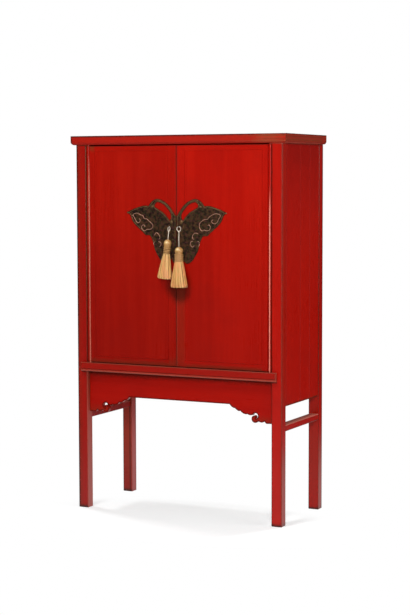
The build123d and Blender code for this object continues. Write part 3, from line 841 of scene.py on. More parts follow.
def ridge(path: np.ndarray, base_y: float, half_width: float, height: float, closed: bool,
          sunk: float = 0.0004, sides: int = 12) -> np.ndarray:
    """A half-round bead carried along a path of the X Z plane, standing towards the front.

    At angle a round the section a point lies half_width times cos a to the left of the path, and
    height times sin a in front of base_y, or sunk times sin a behind it. An open bead tapers to
    a quarter of its width within one width of its ends.

    Args:
        path: the bead's middle line.
        base_y: the face that it stands on.
        half_width: half its width.
        height: how far it stands out.
        closed: whether the path is a loop.
        sunk: how far its back goes into the face.
        sides: points round the section.

    Returns:
        Rows of section points.
    """
    angle = np.arange(sides) * math.tau / sides
    width = np.full(len(path), half_width)
    if not closed:
        run = np.concatenate([[0.0], np.cumsum(np.linalg.norm(np.diff(path, axis=0), axis=1))])
        to_end = np.minimum(run, run[-1] - run) / (2.0 * half_width)
        width = half_width * (BEAD_TIP + (1.0 - BEAD_TIP) * np.sqrt(np.clip(to_end, 0.0, 1.0)))
    left = left_normals(path, closed)
    across = width[:, None] * np.cos(angle)
    share = (width / half_width)[:, None]
    out = np.where(np.sin(angle) > 0, height * share, sunk) * np.sin(angle)
    flat = path[:, None, :] + left[:, None, :] * across[:, :, None]
    return np.stack([flat[:, :, 0], base_y - out, flat[:, :, 1]], axis=2)


def dome(centre: Flat, base_y: float, radius: float, height: float, rows: int = 8,
         sides: int = 20) -> np.ndarray:
    """A low dome on a face, standing towards the front.

    At latitude b from nothing almost to a right angle its ring has radius times cos b, and stands
    height times sin b in front of base_y. One more ring before it is sunk into the face.

    Args:
        centre: its place in the X Z plane.
        base_y: the face that it stands on.
        radius: its radius on the face.
        height: how far it stands out.
        rows: rings of points.
        sides: points round each ring.

    Returns:
        Rows of ring points.
    """
    rise = np.linspace(0.0, DOME_TOP, rows)
    turn = np.arange(sides) * math.tau / sides
    reach = np.concatenate([[radius], radius * np.cos(rise)])[:, None]
    out = np.concatenate([[-DOME_SUNK], height * np.sin(rise)])[:, None]
    flat_x = centre[0] + reach * np.cos(turn)
    flat_z = centre[1] + reach * np.sin(turn)
    return np.stack([flat_x, np.broadcast_to(base_y - out, flat_x.shape), flat_z], axis=2)


def front_loops(node: str) -> List[np.ndarray]:
    """Outlines of the flat front of a CAD node, widest first.

    The front's triangles are those whose corners all lie on the node's lowest Y. An edge of the
    outline belongs to one of them only, and each such edge leads on to the next.

    Args:
        node: the node's name.

    Returns:
        Loops of points of the X Z plane; the outer one runs anticlockwise seen from the front.
    """
    mesh = NODES[node].data
    places = np.empty(len(mesh.vertices) * 3)
    mesh.vertices.foreach_get("co", places)
    vertices = np.empty(len(mesh.loops), dtype=int)
    mesh.loops.foreach_get("vertex_index", vertices)
    merged, number = np.unique(np.round(places.reshape(-1, 3), MERGE_DIGITS), axis=0, return_inverse=True)
    triangles = number.ravel()[vertices.reshape(-1, 3)]
    front = merged[:, 1] < merged[:, 1].min() + FRONT_SLACK
    triangles = triangles[front[triangles].all(axis=1)]
    edges = np.concatenate([triangles[:, [0, 1]], triangles[:, [1, 2]], triangles[:, [2, 0]]])
    codes = edges[:, 0] * len(merged) + edges[:, 1]
    outline = edges[~np.isin(codes, edges[:, 1] * len(merged) + edges[:, 0])]
    after = dict(outline.tolist())
    loops = []
    while after:
        start, following = after.popitem()
        loop = [start]
        while following != start:
            loop.append(following)
            following = after.pop(following)
        loops.append(merged[loop][:, [0, 2]])
    loops.sort(key=lambda loop: -np.ptp(loop[:, 0]))
    loops[0] = turned_left(loops[0])
    return loops


def turned_left(loop: np.ndarray) -> np.ndarray:
    """A loop that runs anticlockwise seen from the front, where its shoelace sum is positive.

    Args:
        loop: points of the X Z plane.

    Returns:
        The loop, or the loop in the other order.
    """
    after = np.roll(loop, -1, axis=0)
    area = np.sum(loop[:, 0] * after[:, 1] - after[:, 0] * loop[:, 1])
    return loop if area > 0 else loop[::-1]


# --------------------------------------------------------------------------- studio
@dataclass(frozen=True)
class Softbox:
    """A square area lamp."""

    name: str
    place: Point
    target: Point
    size: float
    power: float
    glints: bool = True  # whether it shows in reflections

    def build(self) -> None:
        """Make the lamp where it stands, facing its target."""
        data = bpy.data.lights.new(self.name, "AREA")
        data.size = self.size
        data.energy = self.power
        lamp = bpy.data.objects.new(self.name, data)
        towards = Vector(self.target) - Vector(self.place)
        turn = towards.to_track_quat("-Z", "Y").to_matrix().to_4x4()
        lamp.matrix_world = Matrix.Translation(self.place) @ turn
        lamp.visible_glossy = self.glints
        bpy.context.scene.collection.objects.link(lamp)


@dataclass
class Studio:
    """Camera, lamps, pale floor and white surroundings.

    The camera stands at `eye`, turned left by `yaw`, down by `pitch` and about its line of sight by
    `roll`. The floor's grey fades out over `grey_fade`, and reflections see the floor as white as
    far as `sheen_range` from the middle.
    """

    eye: Point = (3.5149, -7.0179, 1.6469)
    yaw: float = 0.4601
    pitch: float = 0.0816
    roll: float = -0.0020
    lens: float = 93.15
    sensor: float = 36.0
    lamps: Tuple[Softbox, ...] = (
        Softbox("key_softbox", (2.8, -5.4, 2.6), (0.1, 0.0, 1.0), 1.5, 165.0),
        Softbox("high_softbox", (-0.35, -2.9, 5.2), (0.0, 0.0, 1.0), 0.8, 108.0),
        Softbox("fill_softbox", (4.2, -0.6, 2.2), (0.3, 0.0, 0.8), 2.6, 40.0),
        Softbox("left_back_softbox", (-2.5, 0.5, 5.0), (0.0, 0.0, 0.0), 0.6, 60.0, False),
        Softbox("right_back_softbox", (1.5, 1.8, 5.2), (0.0, 0.0, 0.0), 0.6, 60.0, False))
    air: Colour = (1.0, 0.98, 0.96)
    air_light: float = 0.20
    mirrored_light: float = 0.04
    floor_half: float = 30.0
    floor_paint: Colour = (0.83, 0.855, 0.86)
    grey_centre: Flat = (0.10, -0.29)
    grey_reach: Flat = (0.78, 0.42)
    grey_fade: Flat = (0.45, 1.30)
    sheen_range: Flat = (3.0, 1.2)
    glow: float = 0.31

    def build(self) -> None:
        """Make the camera, the world, the lamps and the floor."""
        scene = bpy.context.scene
        scene.view_settings.view_transform = "Standard"
        scene.camera = self.camera()
        self.world()
        for lamp in self.lamps:
            lamp.build()
        self.floor()

    def camera(self) -> bpy.types.Object:
        """The camera, turned by its yaw, pitch and roll.

        Returns:
            The camera.
        """
        reach = math.cos(self.pitch)
        ahead = Vector((-math.sin(self.yaw) * reach, math.cos(self.yaw) * reach, -math.sin(self.pitch)))
        level = Vector((math.cos(self.yaw), math.sin(self.yaw), 0.0))
        top = level.cross(ahead)
        right = level * math.cos(self.roll) + top * math.sin(self.roll)
        up = top * math.cos(self.roll) - level * math.sin(self.roll)
        data = bpy.data.cameras.new("camera")
        data.lens = self.lens
        data.sensor_width = self.sensor
        camera = bpy.data.objects.new("camera", data)
        turn = Matrix((right, up, -ahead)).transposed().to_4x4()
        camera.matrix_world = Matrix.Translation(self.eye) @ turn
        bpy.context.scene.collection.objects.link(camera)
        return camera

    def world(self) -> None:
        """White to the camera and through glass, dim in reflections, and else a soft even light."""
        bpy.context.scene.world = bpy.data.worlds.new("surroundings")
        shader = Shader(bpy.context.scene.world)
        white, soft, mirrored = (
            shader.node("ShaderNodeBackground", {}, {"Color": colour, "Strength": strength})
            for colour, strength in ((WHITE, 1.0), (self.air, self.air_light), (WHITE, self.mirrored_light)))
        seen = shader.ray("Is Camera Ray").most(shader.ray("Is Transmission Ray"))
        unseen = shader.layered(shader.ray("Is Glossy Ray"), soft, mirrored)
        shader.close(shader.layered(seen, unseen, white))

    def floor(self) -> None:
        """A pale floor that fades into the white surroundings and keeps the object's shadow.

        The fade is a smooth step on the sum of the squares of X and Y from the grey centre, each
        as a share of the grey reach.
        """
        half = self.floor_half
        square = [(-half, -half, 0), (half, -half, 0), (half, half, 0), (-half, half, 0)]
        mesh = bpy.data.meshes.new("floor")
        mesh.from_pydata(square, [], [(0, 1, 2, 3)])
        floor = bpy.data.objects.new("floor", mesh)
        bpy.context.scene.collection.objects.link(floor)
        shader = Shader("pale_floor")
        across, back, _ = shader.parts(shader.place())
        wide = (across - self.grey_centre[0]) / self.grey_reach[0]
        deep = (back - self.grey_centre[1]) / self.grey_reach[1]
        fade = (wide * wide + deep * deep).rise(*self.grey_fade)
        near = ((across * across + back * back) ** 0.5).rise(*self.sheen_range)
        matt = shader.node("ShaderNodeBsdfDiffuse", {}, {"Color": self.floor_paint})
        glow, white, black = (
            shader.node("ShaderNodeEmission", {}, {"Color": WHITE, "Strength": strength})
            for strength in (self.glow, 1.0, 0.0))
        lit = shader.node("ShaderNodeAddShader", {}, {0: matt, 1: glow})
        seen = shader.layered(fade, lit, white)
        unseen = shader.layered(shader.ray("Is Glossy Ray"), matt, shader.layered(near, black, white))
        mesh.materials.append(shader.close(shader.layered(shader.ray("Is Camera Ray"), unseen, seen)))


# --------------------------------------------------------------------------- boards
POST_OUT = -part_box("left_front_post")[0].x
POST_IN = -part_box("left_front_post")[1].x
POLE_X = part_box("right_pivot_pole")[0].x / 2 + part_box("right_pivot_pole")[1].x / 2  # middle of the pole
SILL_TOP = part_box("waist_moulding")[1].z
SILL_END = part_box("waist_moulding")[1].x
TOP_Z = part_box("top_front_rail")[1].z
TOP_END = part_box("top_front_rail")[1].x
STRETCHER_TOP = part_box("left_side_stretcher")[1].z
REAR_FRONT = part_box("left_rear_post")[0].y
REAR_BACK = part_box("left_rear_post")[1].y
TOP_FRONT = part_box("top_front_rail")[0].y
# Colours of the marks: wear and grime, and painted shade, shadow, highlight and sheen.
# dark: painted shade and shadow, and soot
SHADE_AND_SOOT: Colour = (0.030, 0.005, 0.002)
UMBER: Colour = (0.15, 0.021, 0.008)
OLIVE: Colour = (0.12, 0.045, 0.012)
TAN: Colour = (0.36, 0.070, 0.042)
# painted sheen of the floor low on the legs' inner sides, with some wear
PINK_SHEEN_AND_WEAR: Colour = (0.52, 0.090, 0.085)
BRICK: Colour = (0.35, 0.045, 0.020)
GOLDEN: Colour = (0.27, 0.064, 0.024)
RUSSET: Colour = (0.25, 0.030, 0.014)
CHAR: Colour = (0.07, 0.008, 0.004)
MAROON: Colour = (0.12, 0.004, 0.001)
WINE: Colour = (0.22, 0.004, 0.001)
SCARLET: Colour = (0.30, 0.004, 0.001)
# painted sheen on the stretchers' tops
STRETCHER_SHEEN: Colour = (0.55, 0.13, 0.10)
PALE_STRETCHER_SHEEN: Colour = (0.60, 0.18, 0.13)
# painted highlights down the pivot poles' flanks
LEFT_POLE_HIGHLIGHT: Colour = (0.62, 0.17, 0.11)
RIGHT_POLE_HIGHLIGHT: Colour = (0.85, 0.30, 0.22)
# Stretches of an axis for Mark.within: the axis, where the mark starts and where it is full.
STARTS_IN, FULL_IN = 0.010, 0.004  # behind a face, where what is kept to it starts and is full
BY_FRONT = (1, FRONT_Y + STARTS_IN, FRONT_Y + FULL_IN)
BY_REAR_FRONT = (1, REAR_FRONT + STARTS_IN, REAR_FRONT + FULL_IN)
BY_TOP_FRONT = (1, TOP_FRONT + STARTS_IN, TOP_FRONT + FULL_IN)
BY_TOP_END = (0, TOP_END - STARTS_IN, TOP_END - FULL_IN)
BY_RIGHT_SIDE = (0, POST_OUT - STARTS_IN, POST_OUT - FULL_IN)
BY_LEFT_POST_INSIDE = (0, -POST_IN - STARTS_IN, -POST_IN - FULL_IN)
LOW_ON_THE_LEGS = (2, 0.42, 0.28)
SEAM_DEPTHS = (0.062, 0.230, 0.345)  # joints between a side panel's boards, from the posts' front
FOOT = Mark(2, 0.0, 0.022, SHADE_AND_SOOT, 0.95)
BOARD_SEAMS = tuple(Mark(1, FRONT_Y + depth, 0.004, SCARLET, 0.95, matt=0.6) for depth in SEAM_DEPTHS)
# painted shadow of the tassels on the leaves
TASSEL_SHADOW = Patch((0.012, 1.125), (0.085, 0.105), SHADE_AND_SOOT, 0.75)
MARKS: Dict[str, Marks] = {
    "waist_moulding": (
        Mark(2, SILL_BOTTOM + 0.004, 0.009, TAN, 0.65),
        Mark(2, SILL_TOP, 0.004, TAN, 0.6),
        Mark(2, SILL_BOTTOM + 0.0125, 0.003, SHADE_AND_SOOT, 0.6),
        Mark(0, SILL_END, 0.005, TAN, 0.4),
        Mark(0, -SILL_END, 0.005, TAN, 0.6)),
    "front_apron": (
        # painted shadow of the waist moulding on the apron
        Mark(2, SILL_BOTTOM, 0.034, SHADE_AND_SOOT, 0.72),
        # painted shadow of the right post on the recessed apron
        Mark(0, POST_IN, 0.007, SHADE_AND_SOOT, 0.7),
        Mark(0, -POST_IN, 0.006, UMBER, 0.6),
        Mark(2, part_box("front_apron")[0].z, 0.050, UMBER, 0.45)),
    # painted shade in the gap above the waist moulding
    "front_sill": (Mark(2, SILL_TOP, 0.006, SHADE_AND_SOOT, 0.7),),
    "left_front_post": (
        FOOT,
        Mark(0, -POST_OUT, 0.036, UMBER, 0.35, BY_FRONT),
        Mark(0, -POST_OUT, 0.013, SHADE_AND_SOOT, 0.85, BY_FRONT),
        # painted shadow of the waist moulding on the post
        Mark(2, SILL_BOTTOM, 0.014, SHADE_AND_SOOT, 0.7, (0, -SILL_END - 0.002, -SILL_END + 0.002)),
        # painted shade in the gap between the post and the pole
        Mark(0, -POST_IN, 0.0035, OLIVE, 0.35, (2, SILL_TOP, 1.20)),
        # painted sheen of the floor low on the post's inner side, with some wear
        Mark(0, -POST_IN, 0.003, PINK_SHEEN_AND_WEAR, 0.85, (2, 0.60, 0.45)),
        Mark(0, -POST_IN, 0.005, TAN, 0.6, (2, SILL_BOTTOM + 0.001, SILL_BOTTOM - 0.01))),
    "right_front_post": (
        FOOT,
        Mark(0, POST_OUT, 0.003, UMBER, 0.12, (2, 0.42, 0.62)),
        Mark(0, POST_OUT, 0.005, TAN, 0.20, (1, FRONT_Y + 0.004, FRONT_Y + 0.001)),
        Mark(2, LEAF_TOP - 0.016, 0.010, TAN, 0.7),
        # painted shadow of the waist moulding on the post
        Mark(2, SILL_BOTTOM, 0.014, SHADE_AND_SOOT, 0.7, (0, SILL_END + 0.002, SILL_END - 0.002)),
        # painted shade at the post's inner edge, in the gaps beside the pole and the apron
        Mark(0, POST_IN, 0.005, SHADE_AND_SOOT, 0.5),
        # painted shade: the outer side darker low on the leg
        Mark(0, POST_OUT, 0.003, RUSSET, 0.6, LOW_ON_THE_LEGS),
        Mark(1, FRONT_Y + 0.013, 0.005, TAN, 0.25, (2, 0.42, 0.62))),
    "left_rear_post": (
        FOOT,
        Mark(2, 0.40, 0.50, BRICK, 0.6),
        # painted sheen of the floor low on the post's inner side, with some wear
        Mark(0, -POST_IN, 0.003, PINK_SHEEN_AND_WEAR, 0.7, (2, 0.62, 0.45)),
        Mark(0, -POST_IN - 0.012, 0.005, SHADE_AND_SOOT, 0.75, BY_REAR_FRONT),
        Mark(1, REAR_BACK, 0.012, SHADE_AND_SOOT, 0.7, BY_LEFT_POST_INSIDE),
        Mark(0, -POST_OUT, 0.010, SHADE_AND_SOOT, 0.7, BY_REAR_FRONT)),
    "right_rear_post": (
        FOOT,
        Mark(2, 0.30, 0.50, UMBER, 0.30, (0, POST_OUT, POST_OUT - 0.010)),
        # painted shade: the outer side darker low on the leg
        Mark(0, POST_OUT, 0.003, RUSSET, 0.6, LOW_ON_THE_LEGS),
        Mark(1, REAR_BACK, 0.014, SHADE_AND_SOOT, 0.8, BY_RIGHT_SIDE),
        Mark(0, POST_IN, 0.008, SHADE_AND_SOOT, 0.6, BY_REAR_FRONT)),
    "left_side_panel": BOARD_SEAMS,
    "right_side_panel": (
        *BOARD_SEAMS,
        Mark(2, LEAF_TOP - 0.012, 0.014, TAN, 0.6),
        Mark(2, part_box("right_side_panel")[0].z, 0.012, UMBER, 0.6)),
    # painted sheen on the stretchers' tops
    "left_side_stretcher": (Mark(2, STRETCHER_TOP, 0.005, STRETCHER_SHEEN, 0.85),),
    "right_side_stretcher": (Mark(2, STRETCHER_TOP, 0.005, PALE_STRETCHER_SHEEN, 0.9),),
    "top_front_rail": (
        Mark(2, TOP_Z, 0.010, CHAR, 0.85, BY_TOP_FRONT),
        Mark(0, -TOP_END, 0.012, CHAR, 0.8, BY_TOP_FRONT),
        Mark(0, TOP_END - 0.09, 0.11, GOLDEN, 0.45, BY_TOP_FRONT),
        Mark(2, TOP_Z - 0.010, 0.0035, OLIVE, 0.6, (0, TOP_END - 0.32, TOP_END - 0.06)),
        Mark(2, TOP_Z - 0.024, 0.0030, UMBER, 0.6, (0, TOP_END - 0.24, TOP_END - 0.04)),
        Mark(2, TOP_Z - 0.034, 0.0025, GOLDEN, 0.6, (0, TOP_END - 0.40, TOP_END - 0.10))),
    "right_top_side_rail": (
        Mark(0, TOP_END, 0.010, RUSSET, 0.75),
        Mark(2, TOP_Z, 0.006, SHADE_AND_SOOT, 0.6, BY_TOP_END),
        Mark(2, TOP_Z - 0.013, 0.0040, UMBER, 0.6),
        Mark(2, TOP_Z - 0.028, 0.0030, OLIVE, 0.6),
        Mark(2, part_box("right_top_side_rail")[0].z, 0.006, TAN, 0.6)),
    "top_rear_rail": (Mark(0, TOP_END, 0.010, RUSSET, 0.6), Mark(2, TOP_Z, 0.008, SHADE_AND_SOOT, 0.7, BY_TOP_END)),
    "left_pivot_pole": (
        # painted shade in the gap between the pole and the post
        Mark(0, -POLE_X - 0.009, 0.008, OLIVE, 0.35),
        # painted highlight down the pole's right flank
        Mark(0, -POLE_X + 0.0070, 0.0040, LEFT_POLE_HIGHLIGHT, 0.85, (2, 1.78, 1.60))),
    "right_pivot_pole": (
        # painted highlight down the pole's right flank
        Mark(0, POLE_X - 0.0005, 0.0035, RIGHT_POLE_HIGHLIGHT, 0.95, (2, 1.62, 1.45)),
        # painted shade in the gap between the pole and the post
        Mark(0, POLE_X + 0.009, 0.006, SHADE_AND_SOOT, 0.5)),
    "left_leaf_top_rail": (Mark(2, LEAF_TOP, 0.030, OLIVE, 0.7, (0, -0.36, -0.47)),),
    "right_leaf_top_rail": (Mark(2, LEAF_TOP - 0.010, 0.014, TAN, 0.5, (0, 0.18, 0.36)),),
    "left_hinge_stile": (
        Mark(2, LEAF_TOP, 0.060, OLIVE, 0.6),
        Mark(2, SILL_TOP, 0.030, UMBER, 0.6)),
    "left_leaf_bottom_rail": (Mark(2, SILL_TOP, 0.030, UMBER, 0.6),),
    "right_leaf_bottom_rail": (Mark(2, SILL_TOP, 0.026, UMBER, 0.6),),
    "left_meeting_stile": (
        Mark(0, 0.0, 0.004, MAROON, 0.6, matt=0.4),
        TASSEL_SHADOW,
        Mark(2, SILL_TOP, 0.060, UMBER, 0.5)),
    "right_meeting_stile": (
        Mark(0, 0.002, 0.004, TAN, 0.35, (2, 1.45, 1.25)),
        Mark(0, 0.002, 0.005, MAROON, 0.6, (2, 1.35, 1.50), 0.4),
        TASSEL_SHADOW,
        Mark(0, 0.024, 0.040, UMBER, 0.35, (2, 1.30, 1.05))),
    "left_leaf_panel": (TASSEL_SHADOW,),
    # painted shade: the right leaf darker below the plate, in its half beside the seam
    "right_leaf_panel": (TASSEL_SHADOW, Mark(0, 0.10, 0.16, WINE, 0.30, (2, 1.55, 1.30))),
}


def corners(node: str) -> Box:
    """A node's lowest and highest corners at rest, as plain numbers."""
    low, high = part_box(node)
    return tuple(low), tuple(high)


UPRIGHT_LEAF_BOARDS = ("pivot_pole", "hinge_stile", "meeting_stile", "leaf_panel")
LEVEL_LEAF_BOARDS = ("leaf_top_rail", "leaf_bottom_rail")


@dataclass
class Boards:
    """Every wooden CAD node, each with its own finish and its own way of the grain."""

    # painted shade: each leaf darker towards its bottom
    left_door: Lacquer = Lacquer(
        body=(0.345, 0.0042, 0.0007), bright=(0.39, 0.0062, 0.0014), shades=(Shade(amount=0.76),),
        dark_width=0.0045, dark_share=0.35, pale_share=0.15, specular=0.17)
    right_door: Lacquer = Lacquer(
        shades=(Shade(amount=0.80),), dark_width=0.0045, dark_share=0.35, pale_share=0.15, specular=0.17)
    case: Lacquer = Lacquer()
    left_post: Lacquer = Lacquer(body=(0.31, 0.0040, 0.0012), bright=(0.35, 0.006, 0.002))
    top: Lacquer = Lacquer(
        body=(0.365, 0.0078, 0.0018), bright=(0.41, 0.0105, 0.0026), roughness=0.52, specular=0.15)
    # painted shade: the side panels darker towards the top
    panel: Lacquer = Lacquer(
        body=(0.43, 0.0046, 0.0008), shades=(Shade(full=1.30, amount=0.80, faded=LEAF_TOP),))
    moulding: Lacquer = Lacquer(
        body=(0.30, 0.0052, 0.0018), bright=(0.33, 0.0070, 0.0022), dark_share=0.6, pale_share=0.5)
    apron: Lacquer = Lacquer(
        body=(0.34, 0.0030, 0.0005), bright=(0.37, 0.0045, 0.001), specular=0.14, dark_share=0.85,
        pale_share=0.0)
    inner: BareWood = BareWood()

    def finish_of(self, node: str) -> Optional[Tuple[Union[Lacquer, BareWood], Grain]]:
        """The finish and the grain of a board.

        Args:
            node: the node's name.

        Returns:
            Both, or None if the node isn't wood.
        """
        left = node.startswith("left_")
        plain = node.removeprefix("left_").removeprefix("right_")
        door = self.left_door if left else self.right_door
        post = self.left_post if left else self.case
        kinds = (
            (door, Grain.ALONG_Z, UPRIGHT_LEAF_BOARDS),
            (door, Grain.ALONG_X, LEVEL_LEAF_BOARDS),
            (post, Grain.ALONG_Z, ("front_post", "rear_post")),
            (self.panel, Grain.ALONG_Z, ("side_panel",)),
            (self.moulding, Grain.ALONG_X, ("waist_moulding",)),
            (self.apron, Grain.ALONG_X, ("front_apron",)),
            (self.top, Grain.ALONG_X, ("top_front_rail", "top_rear_rail", "top_panel")),
            (self.top, Grain.ALONG_Y, ("top_side_rail",)),
            (self.case, Grain.ALONG_X, ("front_sill",)),
            (self.case, Grain.ALONG_Y, ("side_stretcher",)),
            (self.inner, Grain.ALONG_Z, ("back_panel",)),
            (self.inner, Grain.ALONG_Y, ("top_battens", "floor_side_bearer", "shelf_side_bearer")),
            (self.inner, Grain.ALONG_X, ("case_floor", "shelf", "leaf_battens", "floor_back_bearer",
                                         "shelf_back_bearer")))
        for finish, grain, boards in kinds:
            if plain in boards:
                return finish, grain
        return None

    @staticmethod
    def worn_box(node: str) -> Box:
        """The box whose edges are rubbed: the whole leaf's for its boards, and else the board's own.

        Args:
            node: the node's name.

        Returns:
            The box's lowest and highest corners.
        """
        word, _, plain = node.partition("_")
        if plain not in UPRIGHT_LEAF_BOARDS + LEVEL_LEAF_BOARDS:
            return corners(node)
        low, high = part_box(word + "_hinge_stile")
        boxes = [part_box(f"{word}_{board}") for board in UPRIGHT_LEAF_BOARDS]
        left = min(box[0].x for box in boxes)
        right = max(box[1].x for box in boxes)
        return (left, low.y, low.z), (right, high.y, high.z)

    def build(self) -> None:
        """Dress every wooden node."""
        for name in NODES:
            found = self.finish_of(name)
            if found is None:
                continue
            finish, grain = found
            marks = MARKS.get(name, ())
            dress(name, finish.material(name + "_finish", corners(name), self.worn_box(name), grain, marks))


def dress(node: str, material: bpy.types.Material) -> None:
    """Give a CAD node its finish.

    Args:
        node: the node's name.
        material: the finish.
    """
    mesh = NODES[node].data
    mesh.materials.clear()
    mesh.materials.append(material)
    LOG.info("dressed %s", node)


@dataclass
class ApronCarving:
    """The dark bead cut along the lower edge of the front apron."""

    inset: float = 0.0030
    half_width: float = 0.0026
    height: float = 0.0012
    spacing: float = 0.004
    top_margin: float = 0.02
    side_margin: float = 0.0048
    leftward: float = 1e-3  # share of X that picks the left one of two equally high points
    lacquer: Lacquer = Lacquer(
        body=(0.10, 0.004, 0.002), bright=(0.16, 0.006, 0.002), deep=(0.06, 0.003, 0.001),
        dark_share=0.0, pale_share=0.0, specular=0.04)

    def build(self) -> None:
        """Carry the bead along the lower outline of the apron's front, from its upper left corner."""
        low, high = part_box("front_apron")
        loop = even_path(front_loops("front_apron")[0], self.spacing, True)
        line = loop + left_normals(loop, True) * self.inset
        start = int(np.argmax(line[:, 1] - line[:, 0] * self.leftward))
        line = np.roll(line, -start, axis=0)
        below = line[:, 1] < high.z - self.top_margin
        kept = line[below & (np.abs(line[:, 0]) < high.x - self.side_margin)]
        box = corners("front_apron")
        material = self.lacquer.material("apron_bead_finish", box, box, Grain.ALONG_X)
        Shell().add(ridge(kept, low.y, self.half_width, self.height, False)).piece(
            "apron_bead", material, "cabinet", "case_lacquer")


# --------------------------------------------------------------------------- butterfly plate
# Lines of the relief, as points of the X Z plane in millimetres.
CLOUDS: Dict[Side, List[Flat]] = {
    Side.LEFT: [
        (-202, 1449), (-196, 1440), (-203, 1429), (-214, 1430), (-222, 1441), (-228, 1454), (-237, 1465),
        (-227, 1472), (-212, 1475), (-198, 1468), (-182, 1462), (-173, 1448), (-160, 1447), (-145, 1434),
        (-131, 1423), (-127, 1411), (-135, 1400), (-149, 1397), (-161, 1396), (-173, 1389), (-185, 1397),
        (-189, 1409), (-181, 1418), (-171, 1414), (-173, 1407)],
    Side.RIGHT: [
        (198, 1447), (190, 1442), (192, 1432), (205, 1427), (218, 1434), (226, 1449), (235, 1467),
        (216, 1475), (197, 1471), (177, 1460), (168, 1449), (149, 1446), (130, 1433), (124, 1420),
        (126, 1405), (138, 1393), (151, 1397), (163, 1393), (178, 1398), (182, 1412), (175, 1421),
        (167, 1417)]}
CURLS: Dict[Side, List[List[Flat]]] = {
    Side.LEFT: [
        [(-119, 1368), (-108, 1381), (-94, 1372), (-88, 1358), (-95, 1349)],
        [(-98, 1340), (-84, 1333), (-84, 1320), (-93, 1313)],
        [(-115, 1338), (-123, 1332), (-118, 1322)]],
    Side.RIGHT: [
        [(117, 1379), (101, 1382), (88, 1370), (88, 1357), (97, 1351)],
        [(90, 1344), (78, 1339), (76, 1326), (87, 1315), (97, 1323)],
        [(112, 1343), (124, 1339), (119, 1332), (124, 1326), (116, 1318)]]}
# The right edge of the insect's body; the left edge is its mirror image.
BODY_LINE: List[Flat] = [
    (33, 1422), (39, 1412), (31, 1394), (29, 1370), (38, 1360), (39, 1348), (32, 1336), (34, 1320),
    (29, 1300), (23, 1280)]


@dataclass
class ButterflyPlate:
    """Relief of one half of the butterfly: raised rim, clouds, curls, eye, knob and body.

    The eye boss and the antenna's knob are given by X, Z and radius. The rings of the body's
    segments are in millimetres: each starts beside the middle line, bends at a share of its
    reach and rises to its tip.
    """

    side: Side
    bronze: bpy.types.Material
    copper: bpy.types.Material
    rim_bronze: bpy.types.Material
    rim_inset: float = 0.0050
    rim_half: float = 0.0015
    rim_height: float = 0.0014
    line_half: float = 0.0014
    line_height: float = 0.0013
    eye_boss: Tuple[float, float, float] = (0.0265, 1.433, 0.0085)
    antenna_knob: Tuple[float, float, float] = (0.131, 1.507, 0.0055)
    dome_share: float = 0.45
    segments: int = 6
    segment_top: float = 1392.0
    segment_step: float = 21.0
    segment_reach: float = 24.0
    segment_taper: float = 1.6
    segment_start: Flat = (4.0, -5.0)  # from the middle line, and from the ring's height
    segment_bend: Flat = (0.6, -2.5)  # share of the reach, and from the ring's height
    segment_tip: float = 3.0  # from the ring's height
    spacing: float = 0.0025

    def add(self, shell: Shell, name: str, material: bpy.types.Material) -> bpy.types.Object:
        """Put a shell on this side's leaf."""
        return shell.piece(self.side.node(name), material, self.side.node("leaf"), "plate_bronze")

    def line(self, points: Sequence[Flat]) -> np.ndarray:
        """A raised line along a smooth curve through points given in millimetres."""
        path = even_path(smooth_path(points), self.spacing, False)
        return ridge(path, PLATE_Y, self.line_half, self.line_height, False)

    def rim(self) -> None:
        """A bead just inside the outline and the antenna's window."""
        outline, window = front_loops(self.side.node("butterfly_plate"))[:2]
        shell = Shell()
        for loop in (outline, window):
            even = even_path(loop, self.spacing, True)
            line = even + left_normals(even, True) * self.rim_inset
            shell.add(ridge(line, PLATE_Y, self.rim_half, self.rim_height, True), ring=True)
        self.add(shell, "plate_rim", self.rim_bronze)

    def scrolls(self) -> None:
        """The cloud on the fore wing and the curls on the hind wing."""
        shell = Shell()
        for points in (CLOUDS[self.side], *CURLS[self.side]):
            shell.add(self.line(points))
        self.add(shell, "plate_scrolls", self.copper)

    def body(self) -> None:
        """The domed eye, the antenna's knob, the body's lobed edge and its rings."""
        sign = self.side.value
        shell = Shell()
        for across, height, radius in (self.eye_boss, self.antenna_knob):
            shell.add(dome((sign * across, height), PLATE_Y, radius, radius * self.dome_share))
        shell.add(self.line([(sign * across, height) for across, height in BODY_LINE]))
        (beside, start), (share, bend), tip = self.segment_start, self.segment_bend, self.segment_tip
        for number in range(self.segments):
            height = self.segment_top - self.segment_step * number
            reach = self.segment_reach - self.segment_taper * number
            ring = ((beside, height + start), (reach * share, height + bend), (reach, height + tip))
            shell.add(self.line([(sign * across, tall) for across, tall in ring]))
        self.add(shell, "plate_body_relief", self.rim_bronze)

    def build(self) -> None:
        """Dress the plate's CAD nodes and add the relief."""
        for name in ("butterfly_plate", "plate_nails", "eye_staple"):
            dress(self.side.node(name), self.bronze)
        self.rim()
        self.scrolls()
        self.body()


